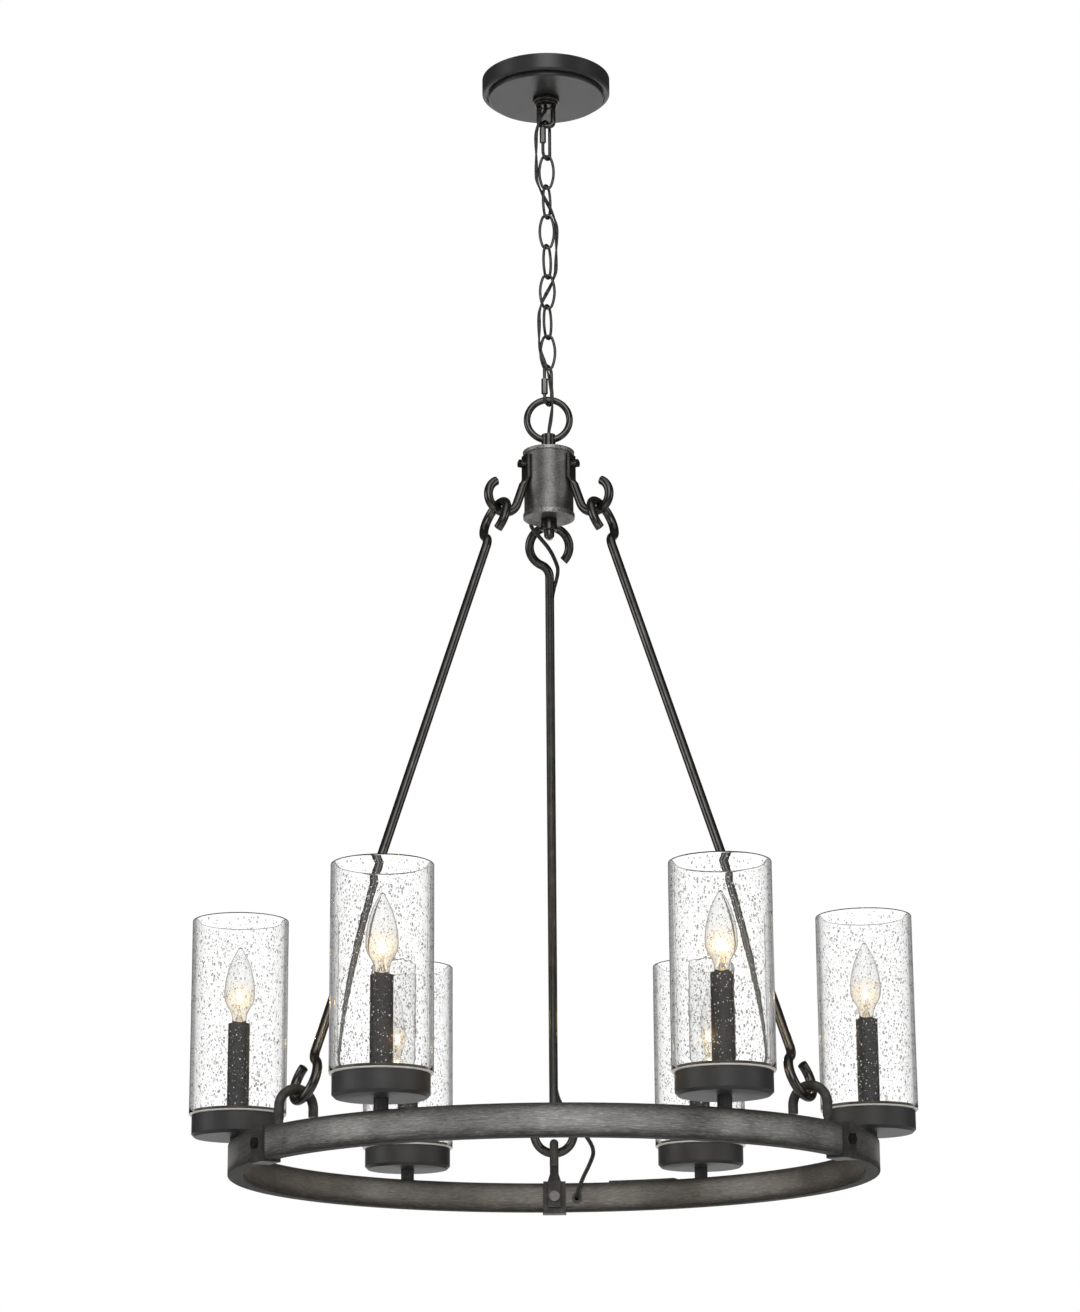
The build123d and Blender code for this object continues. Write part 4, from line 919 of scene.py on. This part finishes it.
rim = [2 * math.pi * k / FLOOR_SIDES for k in range(FLOOR_SIDES)]
floor = mesh_piece(
    "floor",
    [(FLOOR_REACH * math.cos(a), FLOOR_REACH * math.sin(a), FLOOR_LEVEL) for a in rim],
    [list(range(FLOOR_SIDES))],
    pale_floor(),
    smooth=False,
)

# Soft lobes of the studio: direction, cosines where each starts and is full, and power
STUDIO_LOBES = [
    ((0.04, -0.95, 0.30), 0.91, 0.995, 3.2),
    ((-0.95, -0.28, 0.10), 0.92, 0.995, 3.0),
    ((0.93, -0.35, 0.10), 0.93, 0.995, 2.0),
    ((0.0, 0.94, -0.34), 0.72, 0.99, 1.6),
    ((0.0, -0.55, 0.83), 0.80, 0.98, 1.5),
]
DIM_LIGHT = 0.05
# Shares that smooth glass loses of the light it mirrors, and of light thrown back on its way through
MIRROR_LOSS, TURNED_LOSS = 0.85, 0.6
# Heights of a ray's direction where the white band seen through glass comes in and goes out, and its light
BAND_FOOT, BAND_TOP = (-0.75, -0.45), (0.66, 0.44)
BAND_LIGHT, BAND_LEAST = 1.08, 0.10


def studio():
    # White backdrop; metal shines from soft lobes, of which smooth glass takes a small share
    s = Shader("studio", "World")
    way = s.add("TexCoord").outputs["Generated"]
    height = s.add("SeparateXYZ", Vector=way).outputs["Z"]
    light = DIM_LIGHT
    for direction, start, end, power in STUDIO_LOBES:
        light = s.math("ADD", s.times(s.step(s.dot(way, direction), start, end), power), light)
    path = s.add("LightPath").outputs
    light = s.times(light, s.less(path["Is Singular Ray"], MIRROR_LOSS))
    # What is seen through glass: a white band, dimmer where the light was thrown back on its way
    band = s.times(s.step(height, *BAND_FOOT), s.step(height, *BAND_TOP))
    turned = s.math("MINIMUM", path["Glossy Depth"], 1.0)
    through = s.math("ADD", s.times(band, BAND_LIGHT), BAND_LEAST)
    through = s.times(through, s.less(turned, TURNED_LOSS))
    clear = s.times(path["Is Transmission Ray"], s.math("SUBTRACT", through, light))
    strength = s.math("ADD", light, clear)
    bare = s.times(path["Is Camera Ray"], s.math("SUBTRACT", 1.0, strength))
    made = s.add("Background", Color=(1, 1, 1, 1), Strength=s.math("ADD", strength, bare))
    return s.surface(made.outputs[0])


scene = bpy.context.scene
scene.world = studio()
scene.cycles.max_bounces = 24
scene.cycles.transmission_bounces = 24
scene.view_settings.view_transform = "Standard"


def soft_light(name, place, target, size, power):
    data = bpy.data.lights.new(name, "AREA")
    data.shape = "DISK"
    data.size = size
    data.energy = power
    obj = bpy.data.objects.new(name, data)
    obj.location = place
    obj.rotation_mode = "QUATERNION"
    obj.rotation_quaternion = (Vector(target) - Vector(place)).to_track_quat("-Z", "Y")
    obj.visible_camera = False
    obj.visible_glossy = False
    obj.visible_transmission = False
    scene.collection.objects.link(obj)


soft_light("key", (-2.4, -2.6, 0.5), (0, 0, -0.8), 1.8, 40)
soft_light("fill", (2.6, -2.4, -0.9), (0, 0, -0.8), 1.8, 26)
soft_light("floor_wash", (0, 5.5, -0.9), (0, 6.0, -3.0), 2.4, 75)
soft_light("front_wash", (0, -4.3, -1.3), (0, -4.5, -3.0), 2.0, 60)

# The camera as it was fitted to the photograph: its place in metres, its turns in radians
CAMERA_PLACE = (0.005762, -3.37464, -1.58846)
PITCH, YAW, ROLL = 0.2704, -0.0048, -0.0065


def photo_camera():
    lens = bpy.data.cameras.new("camera")
    lens.sensor_width = 36
    lens.lens = 92.2
    camera = bpy.data.objects.new("camera", lens)
    scene.collection.objects.link(camera)
    scene.camera = camera
    ahead = Vector((math.sin(YAW) * math.cos(PITCH), math.cos(YAW) * math.cos(PITCH), math.sin(PITCH)))
    level = Vector((math.cos(YAW), -math.sin(YAW), 0))
    upward = level.cross(ahead)
    right = level * math.cos(ROLL) + upward * math.sin(ROLL)
    upward = upward * math.cos(ROLL) - level * math.sin(ROLL)
    turn = Matrix((right, upward, -ahead)).transposed()
    camera.matrix_world = Matrix.Translation(CAMERA_PLACE) @ turn.to_4x4()


photo_camera()

BLOOM_SIZES, BLOOM_THRESHOLD, BLOOM_STRENGTH = (0.05, 0.12), 2.5, 1.0


def lamp_bloom():
    # The halo that lit filaments leave in a lens
    scene.use_nodes = True
    tree = scene.node_tree
    tree.nodes.clear()
    picture = tree.nodes.new("CompositorNodeRLayers").outputs["Image"]
    for size in BLOOM_SIZES:
        glare = tree.nodes.new("CompositorNodeGlare")
        glare.glare_type = "BLOOM"
        glare.inputs["Threshold"].default_value = BLOOM_THRESHOLD
        glare.inputs["Strength"].default_value = BLOOM_STRENGTH
        glare.inputs["Size"].default_value = size
        tree.links.new(picture, glare.inputs["Image"])
        picture = glare.outputs["Image"]
    output = tree.nodes.new("CompositorNodeComposite")
    tree.links.new(picture, output.inputs["Image"])


lamp_bloom()
